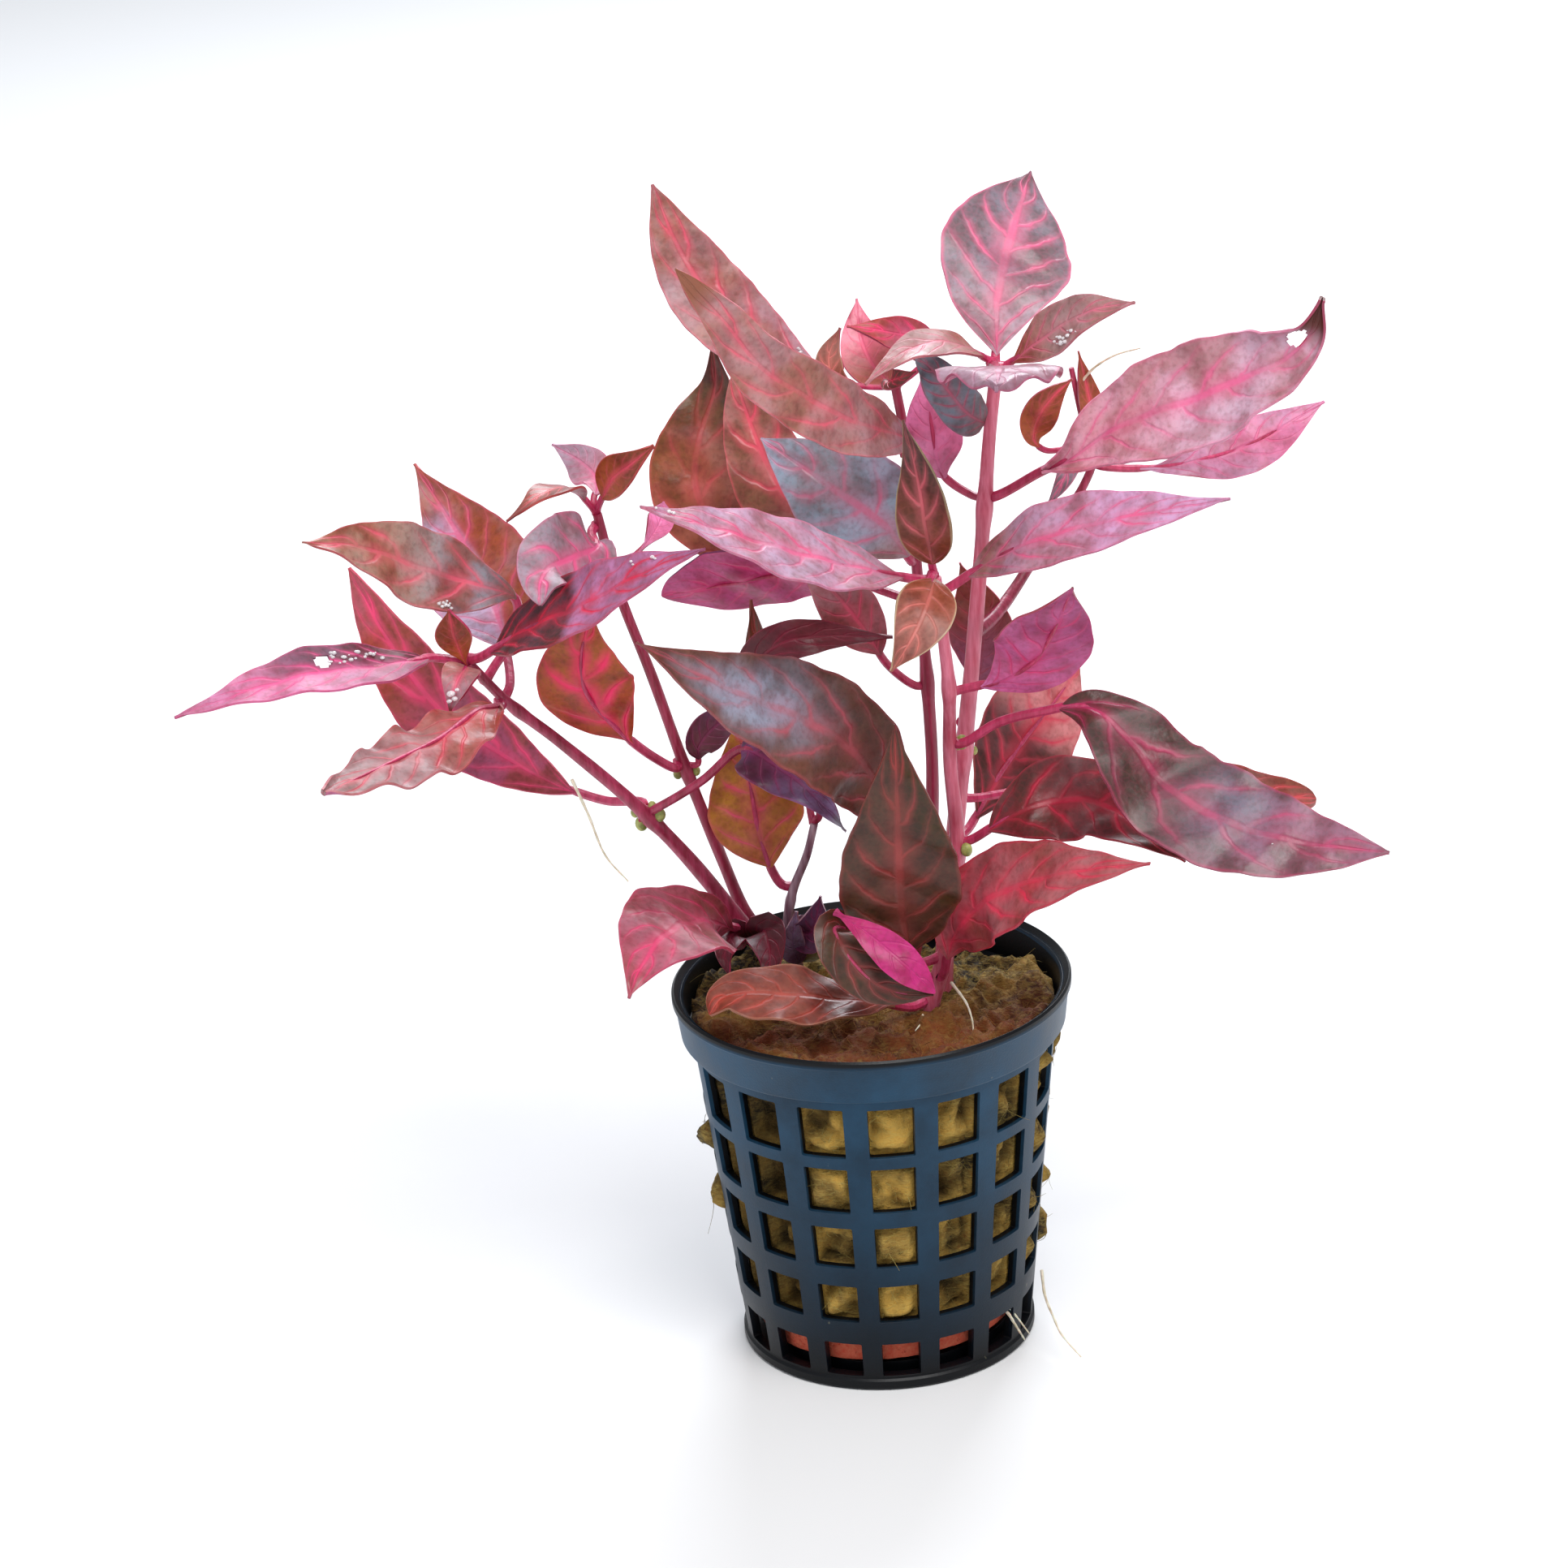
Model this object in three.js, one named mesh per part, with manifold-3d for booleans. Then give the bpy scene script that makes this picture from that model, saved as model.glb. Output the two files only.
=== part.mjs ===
// A potted red-leaved water plant: seven stems with broad, pointed leaves in mineral wool,
// in a small black plastic net pot. Millimetres, +Z up, the origin in the middle of the pot's underside.
import * as THREE from "three";
import { mergeVertices } from "three/addons/utils/BufferGeometryUtils.js";
import Module from "manifold-3d";

const wasm = await Module();
wasm.setup();

// Driving dimensions of the pot
const potHeight = 50.4;
const rimRadius = 26;
const collarLow = 44.2;
const collarRadius = 25.1;
const wallTopRadius = 23.8;
const wallFootRadius = 18.9;
const footRadius = 19.4;
const footHeight = 1.4;
const wall = 1.2;
const edge = 0.4;
const potSides = 32;

// Driving dimensions of the windows in the wall and of the slots in the floor
const columns = 16;
const rows = 5;
const columnPitch = (2 * Math.PI) / columns;
const windowShare = 0.66;
const frontColumnTurn = THREE.MathUtils.degToRad(3);
const lowestWindowTop = 6.9;
const rowPitch = 8.9;
const lowestWindowHeight = 4.9;
const windowGrowth = 0.58;
const cutFrom = 17.2;
const cutTo = 28;
const slots = 8;
const slotFrom = 5;
const slotTo = 11.5;
const slotShare = 0.57;

// Driving dimensions of what the pot holds
const fit = 0.3;
const ledgeRadius = 16.4;
const ledgeInner = 12.5;
const ledgeTop = 3.9;
const discRadius = 16.8;
const discHeight = 4.4;
const discTilt = THREE.MathUtils.degToRad(2.2);
const discSides = 24;
const woolLow = 10.3;
const woolMiddle = 28;
const woolTop = 48;
const woolSides = 20;
const woolTopRings = [19, 13, 7, 0];
const woolLump = 0.7;
const woolDip = 2.6;
const woolDipPlace = [14, 16];
const woolDipSpread = 8.4;
const highestFoot = 60;
const stemDepth = 9;

// Driving dimensions of the leaves
const bladeThickness = 0.5;
const petioleWidth = 1.3;
const petioleThickness = 1.1;
const tipWidth = 0.5;
const leastPetiole = 0.04;
const petioleFade = 0.2;
const widestShare = 0.4;
const bladeTaper = 1.2;
const broadWidth = 8;
const broadSteps = 7;
const slimSteps = 5;
const youngSteps = 4;

// Driving dimensions of the stems and the roots
const stemSides = 6;
const stemSteps = 11;
const knotSwelling = 0.35;
const knotLength = 0.03;
const rootRadius = 0.3;
const rootTaper = 0.4;
const rootSides = 5;
const rootSteps = 8;

// Colours
const colours = {
  olive: "#7d6f5c",
  brown: "#7a4038",
  orange: "#a5502f",
  mauve: "#8a6f80",
  grey: "#6f6f80",
  pink: "#c0607c",
  magenta: "#b02a68",
  purple: "#6b2450",
  maroon: "#6d2434",
  rose: "#b84c62",
};

// Every route is laid out as it shows from an eye in front of the plant and above it. A point is
// [x, z, depth]: its place on the upright plane through the pot's axis, and how far behind that plane
// it really lies on the same line of sight.
const eye = new THREE.Vector3(-9.8, -648, 343);

function place([x, z, depth]) {
  return new THREE.Vector3(x, 0, z)
    .sub(eye)
    .multiplyScalar(1 - depth / eye.y)
    .add(eye);
}

function route(points) {
  return new THREE.CatmullRomCurve3(points.map(place));
}

// Stems, with their radius at the foot and the top. A knot is the share of the length at which a
// leaf pair grows.
const stems = {
  stem_right: {
    colour: colours.rose,
    route: [
      [9.4, 48.5, 2], [10.4, 60, 1], [11.6, 68.9, 1], [14.7, 91, 0],
      [17.2, 112, 0], [18.5, 124, 1], [19.8, 133.2, 1],
    ],
    radii: [1.3, 0.8],
    knots: [0.45, 0.8],
  },
  stem_front: {
    colour: colours.rose,
    route: [
      [7.6, 45.4, -5], [10, 54, -6], [12, 67.8, -7], [11.6, 80, -8],
      [11.9, 90.4, -10], [11.5, 97, -11], [10.9, 105.2, -12],
    ],
    radii: [1.2, 0.7],
    knots: [0.45, 0.78],
  },
  stem_back: {
    colour: colours.maroon,
    route: [
      [5.5, 52, 10], [7.8, 62, 9], [9.2, 77, 9], [9.2, 90, 9],
      [8.6, 106, 9], [8, 123, 8], [7, 131, 8],
    ],
    radii: [1, 0.6],
    knots: [0.55],
  },
  stem_left: {
    colour: colours.maroon,
    route: [
      [-13.4, 54, 12], [-16.3, 59.1, 12], [-22.9, 69.1, 11], [-29.5, 77.2, 8],
      [-38.4, 86.3, 5], [-44.3, 91.8, 2], [-48.8, 97.4, 0],
    ],
    radii: [1.2, 0.6],
    knots: [0.5, 0.86],
  },
  stem_middle: {
    colour: colours.maroon,
    route: [
      [-13.6, 56, 16], [-16.2, 61.7, 16], [-18.2, 67.9, 16], [-22.2, 81, 15],
      [-25.7, 94, 14], [-29.2, 105.9, 13], [-31.2, 116.4, 12],
    ],
    radii: [0.9, 0.6],
    knots: [0.48],
  },
  stem_short: {
    colour: colours.maroon,
    route: [[-9.4, 53, 10], [-10.4, 58, 10], [-9.6, 63, 10], [-7.4, 68.3, 9.5], [-6.2, 72.6, 9]],
    radii: [0.8, 0.5],
    knots: [0.6],
  },
  stem_branch: {
    colour: colours.maroon,
    route: [
      [17.7, 98.4, 3.4], [20.8, 103, 9], [24.6, 108.8, 13], [29.9, 116.1, 16],
      [31.5, 120.5, 17], [30.2, 125.1, 16], [29, 131.9, 16],
    ],
    radii: [0.9, 0.35],
    knots: [0.55],
  },
};

// Leaves: the midrib's route from the stem to the tip, the way the upper face looks, the blade's
// greatest width, the share of the route that is petiole, and the angle in degrees that the two halves
// are folded up by. Where a leaf isn't widest at two fifths of its blade, widest gives the share.
const leaves = {
  leaf_left_long: {
    colour: colours.pink,
    rib: [
      [-52.6, 98.2, -1.6], [-55, 98.1, -5], [-61.1, 97.4, -10], [-68.2, 97, -14],
      [-76.2, 95.4, -18], [-86.7, 92.4, -23],
    ],
    face: [0, -0.4, 0.9], width: 8.8, petiole: 0.06, fold: 14,
  },
  leaf_left_back: {
    colour: colours.maroon,
    rib: [
      [-28.2, 76.6, 11], [-32.7, 77.2, 15], [-38.8, 80, 21], [-44.9, 84.2, 26],
      [-53, 91.5, 33], [-57.8, 99.4, 37], [-62.9, 111.2, 40],
    ],
    face: [-0.5, -0.6, 0.6], width: 12, petiole: 0.2, fold: 12,
  },
  leaf_left_curled: {
    colour: colours.brown,
    rib: [
      [-44.9, 91.2, -0.4], [-48.5, 88.7, -8], [-54.2, 86.3, -16], [-58.7, 84.3, -22],
      [-62.5, 81.1, -27], [-69.1, 80.5, -33],
    ],
    face: [-0.2, -0.5, 0.85], width: 7.4, petiole: 0.06, fold: -16,
  },
  leaf_left_upper: {
    colour: colours.olive,
    rib: [
      [-45.6, 96.4, 2.5], [-48.1, 104.2, 4], [-50, 109.7, 3], [-55.1, 113.2, 0],
      [-61.2, 114.8, -4], [-68.4, 114.9, -9],
    ],
    face: [0, -0.75, 0.66], width: 9.6, petiole: 0.12, fold: 10, widest: 0.5,
  },
  leaf_left_upright: {
    colour: colours.brown,
    rib: [
      [-43.6, 94.2, 4], [-44.6, 103.6, 16], [-46.5, 109.5, 24], [-49.5, 116.3, 31],
      [-53.6, 124.4, 36],
    ],
    face: [-0.1, -0.9, 0.4], width: 15, petiole: 0.16, fold: 12,
  },
  leaf_left_inner: {
    colour: colours.mauve,
    rib: [
      [-47.2, 97.8, -2.4], [-41.2, 101.3, -8], [-34.8, 103.6, -13], [-29.2, 106.3, -17],
      [-24.3, 108.6, -20], [-18, 110.8, -24],
    ],
    face: [0.1, -0.6, 0.8], width: 11, petiole: 0.06, fold: 14,
  },
  leaf_left_dark: {
    colour: colours.purple,
    rib: [
      [-26.6, 75.6, 8], [-20.2, 79.2, 6], [-15.1, 83.2, 5], [-12.3, 82, 2],
      [-7.3, 77.6, -3], [-2.2, 71.2, -7],
    ],
    face: [0.3, -0.8, 0.5], width: 7.5, petiole: 0.44, fold: 10,
  },
  leaf_middle_small: {
    colour: colours.purple,
    rib: [[-20.6, 81.6, 14], [-20.4, 84.1, 13], [-18.1, 86.8, 13.5], [-13.5, 89.5, 13.5]],
    face: [0.1, -0.9, 0.4], width: 5, petiole: 0.1, fold: 10,
  },
  leaf_middle_drooping: {
    colour: colours.mauve,
    rib: [[-31.8, 114.6, 10.4], [-33.6, 113, 5], [-36.4, 110.4, -1], [-38.7, 105, -5]],
    face: [-0.1, -0.7, 0.7], width: 10.5, petiole: 0.06, fold: 6,
  },
  leaf_middle_slim: {
    colour: colours.brown,
    rib: [
      [-32, 117.6, 11.4], [-33.6, 119.4, 9], [-36.4, 119.8, 5], [-39.6, 118.2, 1],
      [-42.6, 116.1, -1],
    ],
    face: [-0.2, -0.3, 0.95], width: 4.8, petiole: 0.08, fold: 12,
  },
  leaf_middle_top: {
    colour: colours.mauve,
    rib: [[-31.4, 118, 12.6], [-30.9, 120.9, 15], [-32.7, 123.4, 18], [-36.2, 125.9, 20]],
    face: [0, -0.95, 0.3], width: 5.6, petiole: 0.08, fold: 10,
  },
  leaf_middle_orange: {
    colour: colours.orange,
    rib: [[-30.6, 117.8, 11], [-29, 120.6, 9], [-26.5, 122.6, 6.5], [-23.5, 124.9, 5]],
    face: [-0.4, -0.8, 0.4], width: 5.4, petiole: 0.06, fold: 20,
  },
  leaf_middle_lower: {
    colour: colours.orange,
    rib: [
      [-23.2, 81.2, 13], [-26, 82.8, 10.4], [-30.1, 86.7, 7], [-34.2, 92.4, 4],
      [-34.4, 97.9, 2], [-32.5, 103.6, 0],
    ],
    face: [0.1, 0.95, 0.3], width: 12.8, petiole: 0.28, fold: 8,
  },
  leaf_front_arched: {
    colour: colours.grey,
    rib: [
      [9.6, 62, -4.6], [7, 67, -5], [1.7, 77.8, -8], [-2.9, 82.9, -12],
      [-8.8, 87.4, -16], [-16.8, 91.4, -22], [-28.1, 101.2, -30],
    ],
    face: [0, -0.8, 0.6], width: 14.6, petiole: 0.1, fold: 8, widest: 0.45,
  },
  leaf_front_upright: {
    colour: colours.olive,
    rib: [[6.4, 52, -8.5], [4.6, 58, -14], [4.4, 67, -18], [4.6, 77, -20], [4.7, 85.6, -19]],
    face: [0, -0.98, 0.2], width: 17.4, petiole: 0.08, fold: 10,
  },
  leaf_front_folded: {
    colour: colours.magenta,
    rib: [
      [5, 49.4, -8.6], [0.8, 58.6, -11], [-3.4, 61, -15], [-2.2, 55.5, -20],
      [1.4, 50.8, -22], [8, 47.4, -23],
    ],
    face: [0.3, -0.85, 0.4], width: 9.5, petiole: 0.2, fold: 20,
  },
  leaf_rim_left: {
    colour: colours.rose,
    rib: [[-16.6, 58.4, 9], [-21.5, 59.2, -1], [-27.2, 59, -12], [-31.1, 49.9, -22]],
    face: [-0.2, -0.75, 0.6], width: 12, petiole: 0.08, fold: 12,
  },
  leaf_on_wool: {
    colour: colours.brown,
    rib: [[5.4, 45.6, -8], [-2, 46, -12], [-8.9, 47.3, -14], [-15.9, 48, -15.5], [-21.2, 45.6, -16]],
    face: [0, -0.3, 0.95], width: 8, petiole: 0.12, fold: 4, widest: 0.6,
  },
  leaf_rim_right: {
    colour: colours.rose,
    rib: [
      [9.6, 50, -7.5], [11, 55.3, -10.6], [15.6, 60.2, -15], [21.4, 62.4, -20],
      [27.8, 63.6, -26], [36.8, 64.2, -31],
    ],
    face: [0.1, -0.75, 0.66], width: 12, petiole: 0.08, fold: 12,
  },
  leaf_rim_right_back: {
    colour: colours.brown,
    rib: [
      [13.4, 68.6, -8], [19.6, 72, -9], [25.4, 73.6, -9], [31, 72.6, -10],
      [35.9, 68.8, -14], [41.4, 64.2, -19],
    ],
    face: [0.1, -0.7, 0.7], width: 11.8, petiole: 0.1, fold: 10,
  },
  leaf_right_broad: {
    colour: colours.mauve,
    rib: [
      [13.2, 82.2, -9.2], [18, 84.7, -11], [23.7, 85.9, -14], [29.5, 86.2, -17],
      [33.8, 82.4, -20], [38.9, 74.8, -24], [46.6, 69.3, -28], [56, 65.8, -32],
      [67.8, 63.7, -36],
    ],
    face: [0.3, -0.75, 0.58], width: 15, petiole: 0.24, fold: 6,
  },
  leaf_right_behind: {
    colour: colours.brown,
    rib: [[14.6, 74.6, 1.5], [27, 76, 6], [40, 75, 12], [51, 72.6, 17], [58.4, 71.8, 20]],
    face: [0.1, -0.6, 0.8], width: 8.4, petiole: 0.24, fold: 12, widest: 0.55,
  },
  leaf_right_purple: {
    colour: colours.magenta,
    rib: [[13.4, 90, -9], [19.7, 92.6, -10], [24.9, 96.2, -14], [28.2, 102.8, -20]],
    face: [-0.3, 0.9, 0.3], width: 13.4, petiole: 0.12, fold: 8, widest: 0.5,
  },
  leaf_right_orange: {
    colour: colours.orange,
    rib: [[13.4, 70, 2.5], [16.9, 76, 8], [21.4, 82.4, 15], [26, 88.2, 21], [28.5, 91.8, 26]],
    face: [-0.2, 0.9, 0.4], width: 13, petiole: 0.08, fold: 8, widest: 0.5,
  },
  leaf_centre_low: {
    colour: colours.brown,
    rib: [[8, 90.5, 8], [4.5, 93.5, 6], [2, 98, 4.5], [-1.8, 103.7, 4], [-7, 110, 4.5]],
    face: [-0.2, -0.75, 0.6], width: 7.4, petiole: 0.3, fold: 10,
  },
  leaf_tip_up: {
    colour: colours.brown,
    rib: [[10.7, 106.4, -12.4], [10, 112, -14], [9.2, 119.5, -13], [7.8, 126.4, -11]],
    face: [-0.3, -0.95, 0.1], width: 7.4, petiole: 0.04, fold: 14,
  },
  leaf_tip_down: {
    colour: colours.brown,
    rib: [[10.8, 105.2, -13.4], [9.8, 102, -18], [8, 98, -21], [4.7, 92.8, -23]],
    face: [0.1, -0.85, 0.5], width: 7.6, petiole: 0.04, fold: 12,
  },
  leaf_centre_long: {
    colour: colours.pink,
    rib: [[9.8, 104.8, -12.2], [3, 106.4, -16], [-7, 109.4, -22], [-17, 113.4, -28], [-25.7, 117, -34]],
    face: [-0.05, -0.5, 0.85], width: 11.4, petiole: 0.08, fold: 8,
  },
  leaf_right_long: {
    colour: colours.pink,
    rib: [
      [12.4, 103.4, -11], [18.1, 106.8, -13], [23.2, 109, -16], [29.7, 110.6, -19],
      [36.9, 111.8, -22], [48.4, 113.3, -27],
    ],
    face: [0, -0.65, 0.75], width: 9.4, petiole: 0.08, fold: 12,
  },
  leaf_high_right: {
    colour: colours.pink,
    rib: [
      [18.8, 115.3, -0.7], [24.6, 118.1, -4], [28.6, 119.8, -7], [33, 122.8, -9],
      [38.7, 125.1, -12], [44.5, 126.8, -14], [50.2, 129, -16], [55.2, 131, -18],
      [58.5, 133.9, -19], [60.5, 139.1, -20],
    ],
    face: [0.1, -0.8, 0.6], width: 13.4, petiole: 0.16, fold: 8, widest: 0.5,
  },
  leaf_back_right: {
    colour: colours.pink,
    rib: [[32.2, 118.6, 15.6], [37, 118, 16], [44, 118.6, 18], [51, 120.4, 21], [60.5, 125.4, 25]],
    face: [0, 0.85, -0.5], width: 7.2, petiole: 0.16, fold: 8, widest: 0.55,
  },
  leaf_top: {
    colour: colours.mauve,
    rib: [[19.8, 134.4, 1.8], [20.1, 141, 5], [21.6, 147.8, 11], [24.9, 157.4, 22]],
    face: [0.05, -0.97, 0.2], width: 17, petiole: 0.03, fold: 6, widest: 0.48, taper: 0.85,
  },
  leaf_top_right: {
    colour: colours.brown,
    rib: [[20.9, 133.3, 0.8], [25.3, 136.5, -2], [29.3, 138.7, -5], [33, 139.8, -8], [36.6, 139.9, -11]],
    face: [0, -0.4, 0.92], width: 5.6, petiole: 0.06, fold: 12,
  },
  leaf_top_left: {
    colour: colours.brown,
    rib: [
      [18.8, 133.5, 0.7], [16.2, 135.2, -3], [12.6, 136.1, -6], [8.9, 135.3, -9],
      [5.8, 133.4, -12], [3.3, 131.3, -14],
    ],
    face: [0, -0.3, 0.95], width: 5.4, petiole: 0.06, fold: 8,
  },
  leaf_top_front: {
    colour: colours.pink,
    rib: [[19.9, 132.6, -0.8], [20, 132, -11], [20, 131.4, -22], [19.6, 130, -33]],
    face: [0, -0.3, 0.95], width: 15.5, petiole: 0.06, fold: 5,
  },
  leaf_high_left: {
    colour: colours.magenta,
    rib: [[16, 115.8, 1.4], [12.4, 119, 3], [11.4, 125, 4], [10.8, 133, 5]],
    face: [0.1, 0.9, 0.3], width: 7.4, petiole: 0.22, fold: 8,
  },
  leaf_high_grey: {
    colour: colours.grey,
    rib: [[17.6, 126, 0.4], [14.2, 127.4, -3], [9, 132.2, -4]],
    face: [-0.2, -0.9, 0.4], width: 7.4, petiole: 0.06, fold: 8, taper: 0.8,
  },
  leaf_upper_left: {
    colour: colours.rose,
    rib: [
      [7.3, 125, 6.4], [4.2, 125.6, 0], [-1.3, 126.6, -7], [-7.1, 129.5, -12],
      [-11.2, 134, -15], [-14.8, 140.4, -17], [-19.6, 147.3, -18],
    ],
    face: [-0.1, -0.85, 0.5], width: 11.4, petiole: 0.08, fold: 8,
  },
  leaf_back_tall: {
    colour: colours.mauve,
    rib: [
      [7.4, 123, 9.6], [1, 128.6, 16], [-5, 133, 22], [-13.1, 141, 28],
      [-16.5, 145.6, 31], [-19.4, 151.8, 33], [-21.5, 158.7, 35],
    ],
    face: [0.1, -0.85, 0.5], width: 10.6, petiole: 0.08, fold: 10, widest: 0.62, taper: 1,
  },
  leaf_back_brown: {
    colour: colours.brown,
    rib: [
      [7.5, 111, 10.4], [-5, 110.6, 19], [-15, 112, 24], [-18.6, 119.4, 26],
      [-17.6, 126, 28], [-15.4, 132.1, 30], [-15.4, 138.4, 32],
    ],
    face: [-0.1, -0.95, 0.2], width: 13, petiole: 0.36, fold: 8, widest: 0.42,
  },
  leaf_back_slim: {
    colour: colours.maroon,
    rib: [[7.4, 113, 7.6], [-1, 112.6, 12], [-7, 117, 15], [-10.6, 125, 18], [-13, 134, 21]],
    face: [-0.1, -0.95, 0.2], width: 8.4, petiole: 0.2, fold: 8,
  },
  leaf_centre_grey: {
    colour: colours.grey,
    rib: [[8.2, 107.4, 7.2], [4.8, 112.6, 5], [-1, 117.6, 6], [-10.1, 125.1, 9]],
    face: [-0.2, -0.9, 0.4], width: 14.4, petiole: 0.06, fold: 6, taper: 1,
  },
  leaf_back_purple: {
    colour: colours.purple,
    rib: [[7.9, 102, 10.2], [-1, 105.6, 15], [-9, 106.6, 19], [-16, 105.8, 22], [-23.8, 105, 25]],
    face: [0, 0.85, 0.5], width: 13, petiole: 0.14, fold: 6, widest: 0.6, taper: 0.7,
  },
  leaf_short_olive: {
    colour: colours.olive,
    rib: [[-6.5, 74, 9.4], [-7, 80, 10], [-9.6, 87, 11], [-11.8, 94, 11], [-12.5, 103.7, 11]],
    face: [0, -0.95, 0.3], width: 6, petiole: 0.2, fold: 8,
  },
  leaf_short_maroon: {
    colour: colours.purple,
    rib: [
      [-5.4, 73.4, 8], [-8.4, 85, 4.6], [-12.5, 94.4, 2], [-9, 97.6, 0],
      [-4, 98.2, 0], [5.1, 97.5, -1],
    ],
    face: [0.1, -0.9, 0.4], width: 5.4, petiole: 0.3, fold: 8, widest: 0.5,
  },
  leaf_short_yellow: {
    colour: colours.orange,
    rib: [[-10.8, 64.2, 10], [-13, 70, 11], [-14, 77.6, 15], [-15.5, 88, 21]],
    face: [0, 0.95, 0.2], width: 12.8, petiole: 0.12, fold: 8,
  },
};

// Young leaves that haven't parted from their shoot yet, in one piece with its stem
const youngLeaves = {
  stem_left: [
    {
      rib: [[-48.9, 97, -0.2], [-50.6, 100.8, -1.6], [-51.3, 104.8, -2.5]],
      face: [-0.2, -0.9, 0.3],
      width: 4.6,
      fold: 16,
    },
    {
      rib: [[-48.9, 97, -0.2], [-50.4, 95, -4], [-51.8, 90.6, -6]],
      face: [-0.2, -0.9, 0.3],
      width: 4.6,
      fold: 16,
    },
  ],
  stem_back: [
    {
      rib: [[7.1, 130.6, 8], [2, 134.6, 10], [-3.4, 133.4, 9]],
      face: [-0.2, -0.8, 0.6],
      width: 7,
      fold: 12,
    },
    {
      rib: [[7.1, 130.6, 8], [4, 137, 13], [2.3, 142.5, 17]],
      face: [0, -0.9, 0.4],
      width: 6,
      fold: 12,
    },
    {
      rib: [[7.1, 130.6, 8], [8, 136.6, 8], [11, 137, 7], [14.4, 133.4, 5]],
      face: [0, -0.5, 0.85],
      width: 6,
      fold: 10,
    },
  ],
  stem_branch: [
    {
      rib: [[30.9, 118.4, 17], [24.6, 119.4, 14], [25, 124, 12], [28.9, 129.3, 11]],
      face: [0.3, -0.9, 0.2],
      width: 6,
      fold: 10,
    },
    {
      rib: [[30.8, 122.6, 16.4], [31.9, 126, 13], [31.4, 120.6, 11]],
      face: [0, -0.9, 0.4],
      width: 3,
      fold: 10,
    },
    {
      rib: [[30.3, 117, 16.4], [27, 118.4, 12], [25.1, 114.6, 10]],
      face: [0, -0.9, 0.4],
      width: 3.6,
      fold: 10,
    },
  ],
  stem_short: [
    {
      rib: [[-10.3, 58, 9.9], [-7.4, 57.4, 6], [-6, 62.4, 4.6]],
      face: [0, -0.9, 0.3],
      width: 5.4,
      fold: 12,
    },
  ],
};

// Loose roots: one hangs out of the pot and lies down towards the ground, one has grown up from a leaf.
const roots = {
  root_outside: [
    [20.6, 6.2, -5], [20.9, 2.4, -8], [22, -1.2, -11.4], [22.9, -3.6, -14],
    [25.4, -7.2, -16.6],
  ],
  root_hanging: [[-36.9, 80.7, -9], [-35.1, 75.6, -10], [-33.3, 69.8, -11], [-30.6, 66, -12]],
};

// Booleans

function closed(geometry) {
  const plain = geometry.index ? geometry.toNonIndexed() : geometry.clone();
  plain.deleteAttribute("normal");
  plain.deleteAttribute("uv");
  return mergeVertices(plain, 1e-3);
}

function solid(geometry) {
  const merged = closed(geometry);
  return new wasm.Manifold(
    new wasm.Mesh({
      numProp: 3,
      vertProperties: merged.attributes.position.array,
      triVerts: new Uint32Array(merged.index.array),
    }),
  );
}

function geometryOf(manifold) {
  const mesh = manifold.getMesh();
  const geometry = new THREE.BufferGeometry();
  geometry.setAttribute("position", new THREE.BufferAttribute(mesh.vertProperties, 3));
  geometry.setIndex(new THREE.BufferAttribute(mesh.triVerts, 1));
  geometry.computeVertexNormals();
  return geometry;
}

// Shapes that follow a route

// Lays a shape that stands along its own y axis on a curve. The shape's z goes the way that face looks,
// and offset gives the distance to the side and towards the face for each of its points.
function lay(shape, curve, face, offset) {
  const points = shape.attributes.position;
  for (let i = 0; i < points.count; i++) {
    const share = points.getY(i) + 0.5;
    const along = curve.getTangentAt(share);
    const up = face.clone().addScaledVector(along, -face.dot(along)).normalize();
    const side = new THREE.Vector3().crossVectors(along, up);
    const [across, out] = offset(points.getX(i), points.getZ(i), share);
    const point = curve.getPointAt(share).addScaledVector(side, across).addScaledVector(up, out);
    points.setXYZ(i, point.x, point.y, point.z);
  }
  return shape;
}

// The blade's width along its length, as a share of the greatest width
function bladeWidth(share, widest, taper) {
  return Math.sin(Math.PI * share ** (Math.log(0.5) / Math.log(widest))) ** taper;
}

function leafGeometry(leaf, steps) {
  const { rib, face, width, fold, petiole = leastPetiole, widest = widestShare, taper = bladeTaper } = leaf;
  const curve = route(rib);
  const halfFold = THREE.MathUtils.degToRad(fold);
  const shape = new THREE.BoxGeometry(1, 1, 1, 2, steps, 1);
  return lay(shape, curve, new THREE.Vector3(...face), (x, z, share) => {
    const blade = THREE.MathUtils.clamp((share - petiole) / (1 - petiole), 0, 1);
    const stalk = Math.max(0, 1 - blade / petioleFade);
    const narrowest = THREE.MathUtils.lerp(tipWidth, petioleWidth, stalk);
    const half = Math.max(width * bladeWidth(blade, widest, taper), narrowest) / 2;
    const thick = THREE.MathUtils.lerp(bladeThickness, petioleThickness, stalk);
    const reach = Math.abs(2 * x) * half;
    return [Math.sign(x) * reach * Math.cos(halfFold), reach * Math.sin(halfFold) + z * thick];
  });
}

function tubeGeometry(curve, radiusAt, sides, steps) {
  const shape = new THREE.CylinderGeometry(1, 1, 1, sides, steps);
  const face = new THREE.Vector3(0.3, -1, 0);
  return lay(shape, curve, face, (x, z, share) => [x * radiusAt(share), z * radiusAt(share)]);
}

function stemRadius({ radii, knots }, share) {
  const plain = THREE.MathUtils.lerp(radii[0], radii[1], share);
  const nearest = Math.min(...knots.map((knot) => Math.abs(share - knot)));
  return plain * (1 + knotSwelling * Math.exp(-((nearest / knotLength) ** 2)));
}

function growsFromWool(stem) {
  return stem.route[0][1] < highestFoot;
}

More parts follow.
